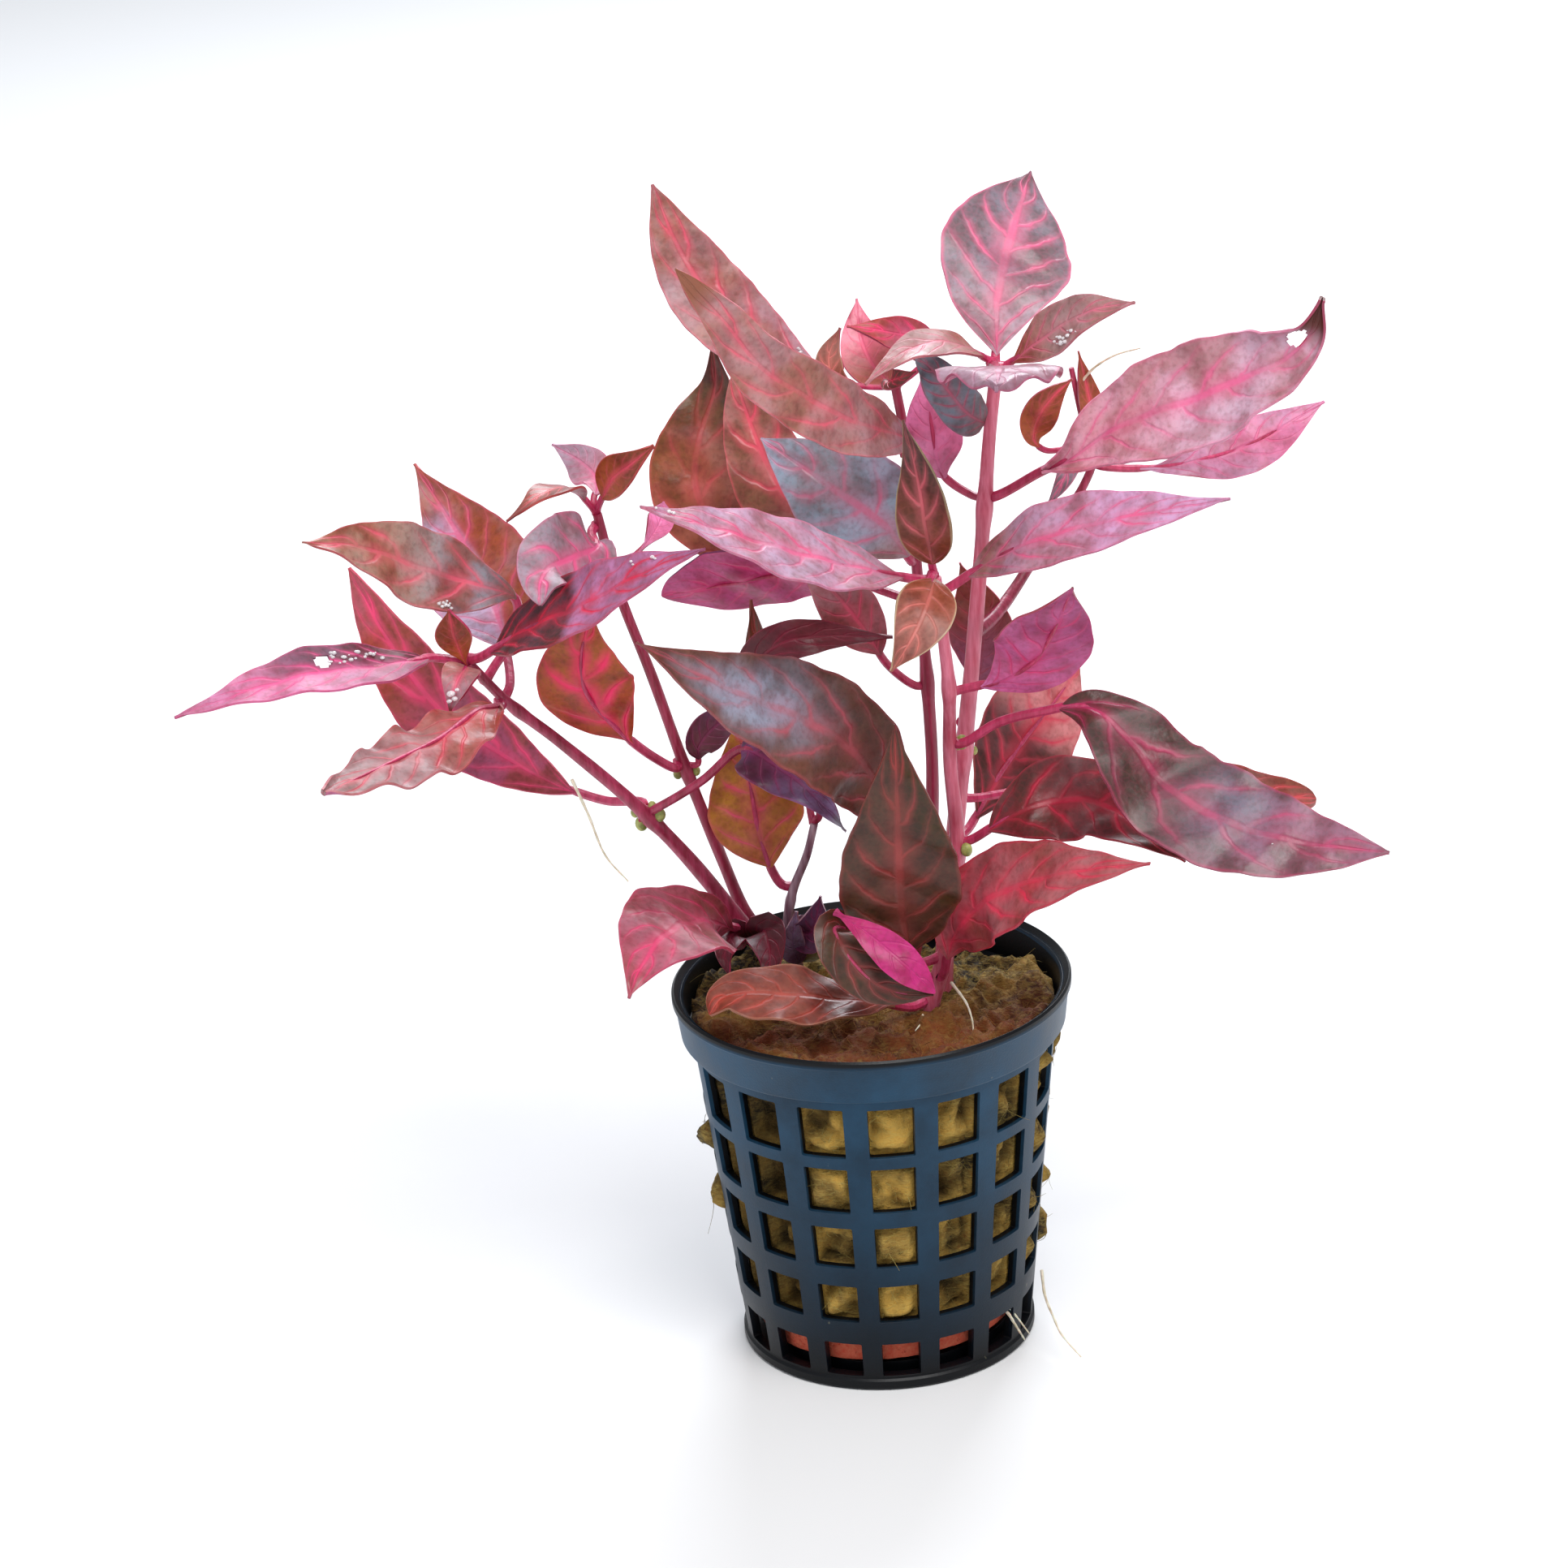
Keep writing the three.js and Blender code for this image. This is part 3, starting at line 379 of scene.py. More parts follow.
        rib=[(9.8, 104.8, -12.2), (3, 106.4, -16), (-7, 109.4, -22), (-17, 113.4, -28),
             (-25.7, 117, -34)],
        face=(-0.05, -0.5, 0.85), width=11.4, petiole=0.08, fold=8,
        top="pink_mauve", under="pink", wave=0.3,
    ),
    "leaf_right_long": dict(
        rib=[(12.4, 103.4, -11), (18.1, 106.8, -13), (23.2, 109, -16), (29.7, 110.6, -19),
             (36.9, 111.8, -22), (48.4, 113.3, -27)],
        face=(0, -0.65, 0.75), width=9.4, petiole=0.08, fold=12,
        top="brown_to_orchid", under="pink", wave=0.3,
    ),
    "leaf_high_right": dict(
        rib=[(18.8, 115.3, -0.7), (24.6, 118.1, -4), (28.6, 119.8, -7), (33, 122.8, -9),
             (38.7, 125.1, -12), (44.5, 126.8, -14), (50.2, 129, -16), (55.2, 131, -18),
             (58.5, 133.9, -19), (60.5, 139.1, -20)],
        face=(0.1, -0.8, 0.6), width=13.4, petiole=0.16, fold=8, widest=0.5,
        top="dark_tipped_rose", under="pink", wave=0.35, curl=0.8,
        hole=(-0.42, 0.86, 0.42, 0.034),
    ),
    "leaf_back_right": dict(
        rib=[(32.2, 118.6, 15.6), (37, 118, 16), (44, 118.6, 18), (51, 120.4, 21), (60.5, 125.4, 25)],
        face=(0, 0.85, -0.5), width=7.2, petiole=0.16, fold=8, widest=0.55,
        top="rose_pink", under="lilac_pink",
    ),
    "leaf_top": dict(
        rib=[(19.8, 133.2, 1.8), (20.1, 141, 5), (21.6, 147.8, 11), (24.9, 157.4, 22)],
        face=(0.05, -0.97, 0.2), width=17, petiole=0.03, fold=6, widest=0.47, taper=1.15,
        top="dusk", under="pink", wave=0.2,
    ),
    "leaf_top_right": dict(
        rib=[(20.9, 132.6, 0.8), (24.6, 135.1, -2), (28.2, 137.3, -5), (31.8, 139, -8), (37.2, 139.9, -11)],
        face=(0.1, -0.75, 0.66), width=6.6, petiole=0.04, fold=10, widest=0.45,
        top="mauve_brown", under="rose",
    ),
    "leaf_top_left": dict(
        rib=[(18.8, 133.5, 0.7), (16.2, 135.2, -3), (12.6, 136.1, -6), (8.9, 135.3, -9),
             (5.8, 133.4, -12), (3.3, 131.3, -14)],
        face=(0, -0.45, 0.9), width=5.4, petiole=0.06, fold=8,
        top="mauve_brown", under="rose",
    ),
    "leaf_top_front": dict(
        rib=[(19.9, 132.6, -0.8), (20, 132, -11), (20, 131.4, -22), (19.6, 130, -33)],
        face=(0, -0.3, 0.95), width=15.5, petiole=0.06, fold=5,
        top="mauve_ring", under="pink", wave=0.7, curl=-0.9,
    ),
    "leaf_high_left": dict(
        rib=[(16, 115.8, 1.4), (12.4, 119, 3), (11.4, 125, 4), (10.8, 133, 5)],
        face=(0.1, 0.9, 0.3), width=7.4, petiole=0.22, fold=8,
        top="rose_pink", under="hot_pink",
    ),
    "leaf_high_grey": dict(
        rib=[(18.3, 125.2, 1), (15.8, 126.8, -1), (13.5, 130, -2), (11.4, 133.1, -2), (9.7, 134.5, -1)],
        face=(-0.2, -0.9, 0.4), width=6, petiole=0.04, fold=8, taper=0.6,
        top="slate", under="rose", wave=0.7,
    ),
    "leaf_upper_left": dict(
        rib=[(8.9, 123.4, 7.4), (6.4, 124.6, 1), (1, 126.8, -6), (-4.6, 130.4, -11),
             (-9.6, 134.4, -14.4), (-13.8, 140.6, -17), (-19.4, 147.7, -18)],
        face=(-0.1, -0.85, 0.5), width=9.2, petiole=0.05, fold=8, widest=0.42, taper=0.75,
        top="brown_mauve", under="pink", wave=0.3,
    ),
    "leaf_back_tall": dict(
        rib=[(7.4, 123, 9.6), (1, 128.6, 16), (-5, 133, 22), (-13.1, 141, 28),
             (-16.5, 145.6, 31), (-19.4, 151.8, 33), (-21.5, 158.7, 35)],
        face=(0.1, -0.85, 0.5), width=10.6, petiole=0.08, fold=10, widest=0.62, taper=1,
        top="pale_rose", under="pink",
    ),
    "leaf_back_brown": dict(
        rib=[(7.5, 111, 10.4), (-5, 110.6, 19), (-15, 112, 24), (-18.6, 119.4, 26),
             (-17.6, 126, 28), (-15.4, 132.1, 30), (-15.4, 138.4, 32)],
        face=(-0.1, -0.95, 0.2), width=12, petiole=0.42, fold=8, widest=0.4, taper=1.3,
        top="brown_dark_tip", under="rose",
    ),
    "leaf_back_slim": dict(
        rib=[(7.4, 113, 7.6), (-1, 112.6, 12), (-7, 117, 15), (-10.6, 125, 18), (-13, 134, 21)],
        face=(-0.1, -0.95, 0.2), width=11.4, petiole=0.2, fold=8, taper=0.75,
        top="rose_rust", under="wine",
    ),
    "leaf_centre_grey": dict(
        rib=[(8.2, 107.4, 7.2), (4.8, 112.6, 5), (-1, 117.6, 6), (-10.1, 125.1, 9)],
        face=(-0.2, -0.9, 0.4), width=14.4, petiole=0.06, fold=6, taper=1,
        top="grey_lavender", under="rose",
    ),
    "leaf_back_purple": dict(
        rib=[(7.9, 102, 10.2), (-1, 105.6, 15), (-9, 106.6, 19), (-16, 105.8, 22), (-23.8, 105, 25)],
        face=(0, 0.85, 0.5), width=13, petiole=0.14, fold=6, widest=0.6, taper=0.7,
        top="plum", under="magenta_wine",
    ),
    "leaf_short_olive": dict(
        rib=[(-6.5, 74, 9.4), (-7, 80, 10), (-9.6, 87, 11), (-11.8, 94, 11), (-12.5, 103.7, 11)],
        face=(0, -0.95, 0.3), width=6, petiole=0.2, fold=8,
        top="olive", under="olive",
    ),
    "leaf_short_maroon": dict(
        rib=[(-5.4, 73.4, 8), (-8.4, 85, 4.6), (-12.5, 94.4, 2), (-9, 97.6, 0),
             (-4, 98.2, 0), (5.1, 97.5, -1)],
        face=(0.1, -0.9, 0.4), width=5.4, petiole=0.3, fold=8, widest=0.5,
        stalk="dark_stem", top="maroon", under="berry",
    ),
    "leaf_short_yellow": dict(
        rib=[(-10.8, 64.2, 10), (-13, 70, 11), (-14, 77.6, 15), (-15.5, 88, 21)],
        face=(0, 0.95, 0.2), width=12.8, petiole=0.12, fold=8,
        top="rust", under="backlit_gold",
    ),
}

# The routes of the two loose roots that have solids of their own
ROOTS = {
    "root_outside": [(20.6, 6.2, -5), (20.9, 2.4, -8), (22, -1.2, -11.4), (22.9, -3.6, -14),
                    (25.4, -7.2, -16.6)],
    "root_hanging": [(-36.9, 80.7, -9), (-35.1, 75.6, -10), (-33.3, 69.8, -11), (-30.6, 66, -12)],
}
# Hair-thin side roots that only the scene has: the route and the radius in mm
FINE_ROOTS = [
    ([(10.4, 49, -6.6), (12.2, 46, -9.5), (12.9, 43.4, -12.6), (13, 41.3, -15.2)], 0.2),
    ([(6.5, 44.6, -8.6), (6.2, 43.4, -11), (5.4, 42.4, -12.8)], 0.16),
    ([(15, 1.2, -11.4), (15.9, 0, -11.6), (16.8, -1.8, -11), (17.9, -4, -9.8)], 0.24),
    ([(15.6, 1.6, -10.8), (16.9, -0.4, -10.6), (18.6, -3.2, -9.6)], 0.18),
    ([(30.2, 130, 15.6), (32, 131.8, 14.6), (34.6, 133.2, 13.6), (37.7, 133.9, 12)], 0.2),
]

# Side buds: the stem, the share of its length, how far round it in degrees, and the bud's size in mm
BUDS = [
    ("stem_left", 0.5, 60, 1.5), ("stem_left", 0.52, 85, 1.1), ("stem_left", 0.5, 235, 1.7),
    ("stem_left", 0.525, 215, 1.2), ("stem_middle", 0.48, 75, 1.1), ("stem_middle", 0.485, 250, 1.2),
    ("stem_front", 0.665, 84, 1.6), ("stem_front", 0.655, 112, 1.2), ("stem_front", 0.46, 30, 1.5),
    ("stem_right", 0.45, 100, 1.0),
]


def route(points):
    """Where the points of a route really are, in mm."""
    flat = np.array([(x, 0.0, z) for x, z, _ in points])
    depth = np.array([[d] for _, _, d in points])
    return EYE + (flat - EYE) * (1 - depth / EYE[1])


def spine(points, samples=40):
    """A smooth curve through the points: the share of its length at each sample, the samples, its length."""
    ends = np.vstack([2 * points[0] - points[1], points, 2 * points[-1] - points[-2]])
    line = []
    for p0, p1, p2, p3 in zip(ends, ends[1:], ends[2:], ends[3:]):
        g0, g1, g2 = (np.linalg.norm(b - a) ** 0.5 for a, b in ((p0, p1), (p1, p2), (p2, p3)))
        m1 = ((p1 - p0) / g0 - (p2 - p0) / (g0 + g1) + (p2 - p1) / g1) * g1
        m2 = ((p2 - p1) / g1 - (p3 - p1) / (g1 + g2) + (p3 - p2) / g2) * g1
        t = np.linspace(0, 1, samples, endpoint=False)[:, None]
        line.append(p1 + m1 * t + (3 * (p2 - p1) - 2 * m1 - m2) * t**2 + (2 * (p1 - p2) + m1 + m2) * t**3)
    line = np.vstack([*line, points[-1:]])
    length = np.concatenate([[0], np.cumsum(np.linalg.norm(np.diff(line, axis=0), axis=1))])
    return length / length[-1], line, length[-1]


def unit(v):
    return v / np.linalg.norm(v, axis=-1, keepdims=True)


def stations(curve, face, share):
    """The point on the curve at each share, and the ways to the side, up and along from it."""
    shares, line, _ = curve

    def at(s):
        return np.stack([np.interp(s, shares, line[:, k]) for k in range(3)], axis=-1)

    step = 0.004
    along = unit(at(np.minimum(share + step, 1)) - at(np.maximum(share - step, 0)))
    face = np.array(face, float)
    up = unit(face - (along @ face)[:, None] * along)
    return at(share), np.cross(along, up), up, along


def move(verts, places):
    """Puts each vertex at its place, given in mm."""
    for vert, place in zip(verts, places * MM):
        vert.co = place


def coordinates(verts):
    return np.array([v.co for v in verts])


def tube(bm, curve, radius, sides, rings, slot=0, stop=1.0, drop=0.0, groove=0.0):
    """Adds a round stalk along a curve, up to the share where it stops. radius gives the radius at each
    share, drop lowers the stalk by that many radii, and groove is how deep its grooves are, in radii."""
    ends = bmesh.ops.create_cone(bm, cap_ends=True, segments=sides, radius1=1, radius2=1, depth=2)["verts"]
    upright = {e for v in ends for e in v.link_edges if abs(e.verts[0].co.z - e.verts[1].co.z) > 1}
    made = bmesh.ops.subdivide_edges(bm, edges=list(upright), cuts=rings - 1)["geom_inner"]
    between = [v for v in made if isinstance(v, bmesh.types.BMVert)]
    verts = list({v for inner in between for e in inner.link_edges for v in e.verts})
    x, y, z = coordinates(verts).T
    share = stop * (z + 1) / 2
    point, side, up, _ = stations(curve, STALK_FACE, share)
    size = radius(share) * (1 + groove * np.cos(STEM_GROOVES * np.arctan2(y, x) + share))
    lowered = point - drop * radius(share)[:, None] * up
    move(verts, lowered + (y * size)[:, None] * side + (x * size)[:, None] * up)
    for face in {f for v in verts for f in v.link_faces}:
        face.material_index = slot


def blade_width(share, widest, taper):
    """The blade's width along its length, as a share of the greatest width."""
    return np.sin(np.pi * share ** (math.log(0.5) / math.log(widest))) ** taper


def stem_line(stem):
    """A stem's middle line; one that stands in the wool starts deep in it."""
    points = route(stem["route"])
    if stem["route"][0][1] < HIGHEST_FOOT:
        points = np.vstack([points[0] - (0, 0, STEM_DEPTH), points])
    return spine(points)


STEM_LINES = {node: stem_line(stem) for node, stem in STEMS.items()}


def leaf_line(leaf):
    """A leaf's midrib, which starts inside its stem, and the share of it that is petiole."""
    rib = route(leaf["rib"])
    petiole = leaf.get("petiole", PETIOLE_SHARE)
    spots = np.vstack([line for _, line, _ in STEM_LINES.values()])
    gaps = np.linalg.norm(spots - rib[0], axis=1)
    if leaf.get("loose") or gaps.min() < TOUCHING:
        return spine(rib), petiole
    curve = spine(np.vstack([spots[gaps.argmin()], rib]))
    return curve, 1 - spine(rib)[2] * (1 - petiole) / curve[2]


def blade_points(leaf, curve, petiole, x, t):
    """Where a leaf's upper side is, in mm: x from -1 to 1 across the blade, t from 0 to 1 along it. Its
    margin is a little notched and rolls up and down; the blade swells in places and is slightly domed. In
    each of the waves, the number beside length is how many radians it turns in a mm."""
    point, side, up, _ = stations(curve, leaf["face"], petiole + (1 - petiole) * t)
    phase = float(curve[1][0].sum())
    length = curve[2] * (1 - petiole)
    widest, taper = leaf.get("widest", WIDEST_SHARE), leaf.get("taper", BLADE_TAPER)
    full = leaf["width"] / 2 * blade_width(t, widest, taper)
    notch = 1 + 0.008 * np.sin(t * length * 1.9 + phase + x) + 0.01 * np.sin(t * length * 0.8 - phase)
    half = np.maximum(full * notch, LEAST_HALF_WIDTH)
    fold = math.radians(leaf["fold"])
    swing = np.sin(np.pi * t) ** 0.5
    roll = leaf.get("wave", WAVE) * x**2 * np.sin(t * length * 0.75 + phase + (x > 0) * 2.1) * swing
    swell = 0.016 * leaf["width"] * np.sin(t * length * 0.9 + 2 * phase + 2.5 * x) * (1 - x**2) * swing
    dome = 0.05 * leaf["width"] * (1 - x**2) * np.sin(np.pi * t)
    curl = leaf.get("curl", 0) * np.maximum(np.abs(x) - CURL_START, 0) ** 2 * CURL_STEEPNESS
    rise = half * np.sin(fold) * np.abs(x) ** 1.4 + roll + swell + curl + dome * (0.5 if fold > 0 else -0.5)
    return point + (x * half * math.cos(fold))[:, None] * side + (rise + BLADE_THICKNESS / 2)[:, None] * up


def blade(bm, leaf, slots):
    """Adds one leaf: the thin blade, and the petiole that runs on under it as the midrib. slots are those of
    the materials for the upper side, the underside and the petiole."""
    curve, petiole = leaf_line(leaf)
    rows = max(LEAST_ROWS, int(curve[2] * BLADE_ROWS_PER_MM))
    sheet = bmesh.ops.create_grid(
        bm, x_segments=BLADE_COLUMNS, y_segments=rows, size=1, calc_uvs=True)["verts"]
    if "hole" in leaf:
        middle_x, middle_t, wide, long = leaf["hole"]
        inside = []
        for face in {f for v in sheet for f in v.link_faces}:
            x, y, _ = face.calc_center_median()
            if ((x - middle_x) / wide) ** 2 + (((y + 1) / 2 - middle_t) / long) ** 2 < 1:
                inside.append(face)
        bmesh.ops.delete(bm, geom=inside, context="FACES")
        sheet = [v for v in sheet if v.is_valid]
    x, y, _ = coordinates(sheet).T
    move(sheet, blade_points(leaf, curve, petiole, x, (y + 1) / 2))
    faces = list({f for v in sheet for f in v.link_faces})
    for face in faces:
        face.normal_update()
    upper = set(sheet)
    made = bmesh.ops.solidify(bm, geom=faces, thickness=BLADE_THICKNESS * MM)["geom"]
    for face in {g for g in made if isinstance(g, bmesh.types.BMFace)} | set(faces):
        face.material_index = slots[0] if all(v in upper for v in face.verts) else slots[1]

    # A small leaf has a thin petiole. It is thickest at the stem, and swells once more at the blade's foot.
    scale = min(1.0, 0.35 + leaf["width"] / 14)

    def stalk(share):
        blade_share = np.clip((share - petiole) / (1 - petiole), 0, 1)
        thinning = (MIDRIB_RADIUS - TIP_RADIUS) * blade_share
        midrib = MIDRIB_RADIUS + 0.2 * np.exp(-blade_share / 0.06) - thinning
        flare = 1 + 0.35 * np.exp(-share / 0.02)
        return np.where(share < petiole, PETIOLE_RADIUS, midrib) * flare * scale

    tube(bm, curve, stalk, STALK_SIDES, rows, slots[2], stop=0.96, drop=0.75)


def finished(name, bm, materials, sharp=40):
    """Makes the mesh a piece that rides on the pot, smooth but for edges that bend by more than sharp, which
    is in degrees."""
    bmesh.ops.recalc_face_normals(bm, faces=bm.faces[:])
    mesh = bpy.data.meshes.new(name)
    bm.to_mesh(mesh)
    bm.free()
    for material in materials:
        mesh.materials.append(material)
    mesh.shade_smooth()
    mesh.set_sharp_from_angle(angle=math.radians(sharp))
    piece = bpy.data.objects.new(name, mesh)
    bpy.context.scene.collection.objects.link(piece)
    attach(piece, "root")
    return piece


def new_mesh():
    """An empty mesh with the map that the blades' patterns follow: across in x, along in y."""
    bm = bmesh.new()
    bm.loops.layers.uv.new("blade")
    return bm


# Materials

# Inputs go by number where a node has several of one name. A Mix node takes its factor at 0 and its colours
# at 6 and 7. A MapRange node takes its value at 0, the range that it comes from at 1 and 2, and what it
# turns into at 3 and 4, which are 0 and 1 where they are left out.
RGBA = {"data_type": "RGBA"}
SMOOTH = {"interpolation_type": "SMOOTHSTEP"}


def colour(hexed):
    """A linear colour from an sRGB hex value."""
    parts = [int(hexed[k:k + 2], 16) / 255 for k in (1, 3, 5)]
    return (*[c / 12.92 if c <= 0.04045 else ((c + 0.055) / 1.055) ** 2.4 for c in parts], 1.0)


def link(tree, node, links):
    """Feeds a node's inputs, each from an output or from the first output in use of another node."""
    for key, source in links.items():
        if isinstance(source, bpy.types.Node):
            source = next(o for o in source.outputs if o.enabled)
        tree.links.new(source, node.inputs[key])


def add(tree, kind, settings={}, links={}):
    """Adds a shader node. A setting names a property or an input; a link, an input and what feeds it."""
    made = tree.nodes.new("ShaderNode" + kind)
    for key, value in settings.items():
        if isinstance(key, str) and hasattr(made, key):
            setattr(made, key, value)
        else:
            made.inputs[key].default_value = value
    link(tree, made, links)
    return made


def new_finish(name, **settings):
    """A new material, its node tree, its surface shader with the values that are the same all over it, and
    the place on the object, which its patterns follow."""
    material = bpy.data.materials.new(name)
    material.use_nodes = True
    tree = material.node_tree
    shader = tree.nodes["Principled BSDF"]
    for key, value in settings.items():
        shader.inputs[key.replace("_", " ")].default_value = value
    return material, tree, shader, add(tree, "TexCoord").outputs["Object"]


def leaf_side(name, near, far, vein, turn=0.5, soft=0.25, strength=1.0, rungs=7.5, laterals=1.0, flush=0.34,
              sheen_veil="#76788c", sheen_veil_share=0.45, brown="#6c3424", brown_share=0.35, rim=None, rim_share=0.3,
              half=None, pool=None, tip=None, roughness=0.42):
    """One side of a leaf: living leaf skin, wet. It gives the eye a soft satin colour that shifts from the
    petiole to the tip, with a painted blue-grey sheen, brown and fine freckles in patches, a bright midrib
    and side veins that blur at their edges and fade towards the margin, a faint net between them, and a wet
    shine that the veins break up."""
    material, tree, shader, place = new_finish(
        name, Subsurface_Weight=0.12, Subsurface_Scale=0.001, Subsurface_Radius=(1.0, 0.3, 0.25),
        Coat_Weight=0.1, Coat_Roughness=0.18, Specular_IOR_Level=0.35)
    uv = add(tree, "UVMap", {"uv_map": "blade"})
    blade_map = add(tree, "SeparateXYZ", {}, {0: uv})
    across_x, along_y = blade_map.outputs[0], blade_map.outputs[1]
    patches = add(tree, "TexNoise", {"Scale": 125.0, "Detail": 3.0, "Roughness": 0.55}, {"Vector": place})
    blotch = add(tree, "TexNoise", {"Scale": 330.0, "Detail": 2.0, "Roughness": 0.5}, {"Vector": place})
    vigour = add(tree, "TexNoise", {"Scale": 190.0, "Detail": 1.0}, {"Vector": place})
    grain = add(tree, "TexNoise", {"Scale": 1500.0, "Detail": 3.0}, {"Vector": place})
    net = add(tree, "TexVoronoi", {"feature": "DISTANCE_TO_EDGE", "Scale": 950.0}, {"Vector": place})

    # The side veins are the rungs of a ladder that bows towards the tip and is staggered on the right half
    signed = add(tree, "Math", {"operation": "MULTIPLY_ADD", 1: 2.0, 2: -1.0}, {0: across_x})
    across = add(tree, "Math", {"operation": "ABSOLUTE"}, {0: signed})
    drift = add(tree, "Math", {"operation": "MULTIPLY_ADD", 1: 0.09}, {0: patches, 2: along_y})
    wander = add(tree, "Math", {"operation": "MULTIPLY_ADD", 1: 0.06}, {0: blotch, 2: drift})
    bow = add(tree, "Math", {"operation": "POWER", 1: 1.5}, {0: across})
    climb = add(tree, "Math", {"operation": "MULTIPLY_ADD", 1: -0.22}, {0: bow, 2: wander})
    right = add(tree, "Math", {"operation": "GREATER_THAN", 1: 0.5}, {0: across_x})
    stagger = add(tree, "Math", {"operation": "MULTIPLY", 1: 0.4}, {0: right})
    ladder = add(tree, "Math", {"operation": "MULTIPLY_ADD", 1: rungs}, {0: climb, 2: stagger})
    rung = add(tree, "Math", {"operation": "FRACT"}, {0: ladder})
    centred = add(tree, "Math", {"operation": "SUBTRACT", 1: 0.5}, {0: rung})
    off = add(tree, "Math", {"operation": "ABSOLUTE"}, {0: centred})

    # Each vein is a narrow line with a wide halo round it, uneven in strength from place to place
    lateral = add(tree, "MapRange", {**SMOOTH, 1: 0.1, 2: 0.012}, {0: off})
    halo = add(tree, "MapRange", {**SMOOTH, 1: 0.34, 2: 0.04}, {0: off})
    fade = add(tree, "MapRange", {**SMOOTH, 1: 1.0, 2: 0.45, 3: 0.15 * laterals, 4: laterals}, {0: across})
    midrib = add(tree, "MapRange", {**SMOOTH, 1: 0.11, 2: 0.03}, {0: across})
    mid_halo = add(tree, "MapRange", {**SMOOTH, 1: 0.42, 2: 0.05}, {0: across})
    living = add(tree, "MapRange", {1: 0.38, 2: 0.62, 3: 0.4, 4: 1.1}, {0: vigour})
    side_veins = add(tree, "Math", {"operation": "MULTIPLY"}, {0: lateral, 1: fade})
    side_halo = add(tree, "Math", {"operation": "MULTIPLY"}, {0: halo, 1: fade})
    veins = add(tree, "Math", {"operation": "MAXIMUM"}, {0: midrib, 1: side_veins})
    broken = add(tree, "Math", {"operation": "MULTIPLY"}, {0: veins, 1: living})
    glow = add(tree, "Math", {"operation": "MAXIMUM"}, {0: mid_halo, 1: side_halo})
    warm = add(tree, "Math", {"operation": "MULTIPLY"}, {0: glow, 1: living})

    # The skin's own colour, and what lies over it, each with its share
    shift = add(tree, "MapRange", {**SMOOTH, 1: turn - soft, 2: turn + soft}, {0: wander})
    skin = add(tree, "Mix", {**RGBA, 6: colour(near), 7: colour(far)}, {0: shift})
    layers = []
    if half:
        half_skin, half_reach = half
        beside = add(tree, "MapRange", {**SMOOTH, 1: 0.5, 2: 0.6}, {0: across_x})
        inward = add(tree, "MapRange", {**SMOOTH, 1: half_reach + 0.15, 2: half_reach - 0.15}, {0: wander})
        halved = add(tree, "Math", {"operation": "MULTIPLY"}, {0: beside, 1: inward})
        layers.append((halved, half_skin, "MIX"))
    # Painted sheen: a pale veil of the sheen colour in patches, or gathered round one spot as a painted
    # highlight
    if pool:
        middle, reach = pool
        apart = add(tree, "VectorMath", {"operation": "SUBTRACT", 1: (*middle, 0)}, {0: uv})
        scaled = add(tree, "VectorMath", {"operation": "DIVIDE", 1: (*reach, 1)}, {0: apart})
        away = add(tree, "VectorMath", {"operation": "LENGTH"}, {0: scaled})
        uneven = add(tree, "Math", {"operation": "MULTIPLY_ADD", 1: 1.2}, {0: patches, 2: away})
        sheen_veil_mask = add(tree, "MapRange", {**SMOOTH, 1: 1.8, 2: 0.9, 4: sheen_veil_share}, {0: uneven})
    else:
        sheen_veil_mask = add(tree, "MapRange", {**SMOOTH, 1: 0.4, 2: 0.7, 4: 0.8 * sheen_veil_share}, {0: patches})
    browned = add(tree, "MapRange", {**SMOOTH, 1: 0.52, 2: 0.36, 4: brown_share}, {0: patches})
    deep = add(tree, "MapRange", {**SMOOTH, 1: 0.4, 2: 0.68, 4: 0.5}, {0: blotch})
    freckles = add(tree, "MapRange", {1: 0.46, 2: 0.68, 4: 0.34}, {0: grain})
    glow_share = add(tree, "Math", {"operation": "MULTIPLY", 1: 1.4 * flush * strength}, {0: warm})
    threads = add(tree, "MapRange", {**SMOOTH, 1: 0.2, 2: 0.0, 4: 0.07 * strength}, {0: net})
    vein_share = add(tree, "Math", {"operation": "MULTIPLY", 1: 0.74 * strength}, {0: broken})
    layers += [(sheen_veil_mask, sheen_veil, "MIX"), (browned, brown, "MIX"), (deep, "#b88880", "MULTIPLY"),
               (freckles, "#a88078", "MULTIPLY"), (glow_share, vein, "MIX"), (threads, vein, "MIX"),
               (vein_share, vein, "MIX")]
    if tip:
        ending = add(tree, "MapRange", {**SMOOTH, 1: 0.84, 2: 0.93}, {0: along_y})
        layers.append((ending, tip, "MIX"))
    edge = add(tree, "MapRange", {**SMOOTH, 1: 0.92, 2: 1.0, 4: rim_share}, {0: across})
    layers.append((edge, rim or vein, "MIX"))
    for share, tint, blend in layers:
        skin = add(tree, "Mix", {**RGBA, "blend_type": blend, 7: colour(tint)}, {0: share, 6: skin})

    # Wet shine, and a skin that is quilted between sunken veins
    wet = add(tree, "MapRange", {1: 0.35, 2: 0.65, 3: roughness - 0.08, 4: roughness + 0.16}, {0: patches})
    sunk = add(tree, "Math", {"operation": "MULTIPLY", 1: -0.35}, {0: veins})
    relief = add(tree, "Math", {"operation": "MULTIPLY_ADD", 1: 0.18}, {0: grain, 2: sunk})
    quilt = add(tree, "Math", {"operation": "MULTIPLY_ADD", 1: 1.2}, {0: blotch, 2: relief})
    bump = add(tree, "Bump", {"Strength": 0.6, "Distance": 0.4 * MM}, {"Height": quilt})
    link(tree, shader, {"Base Color": skin, "Roughness": wet, "Normal": bump})
    return material


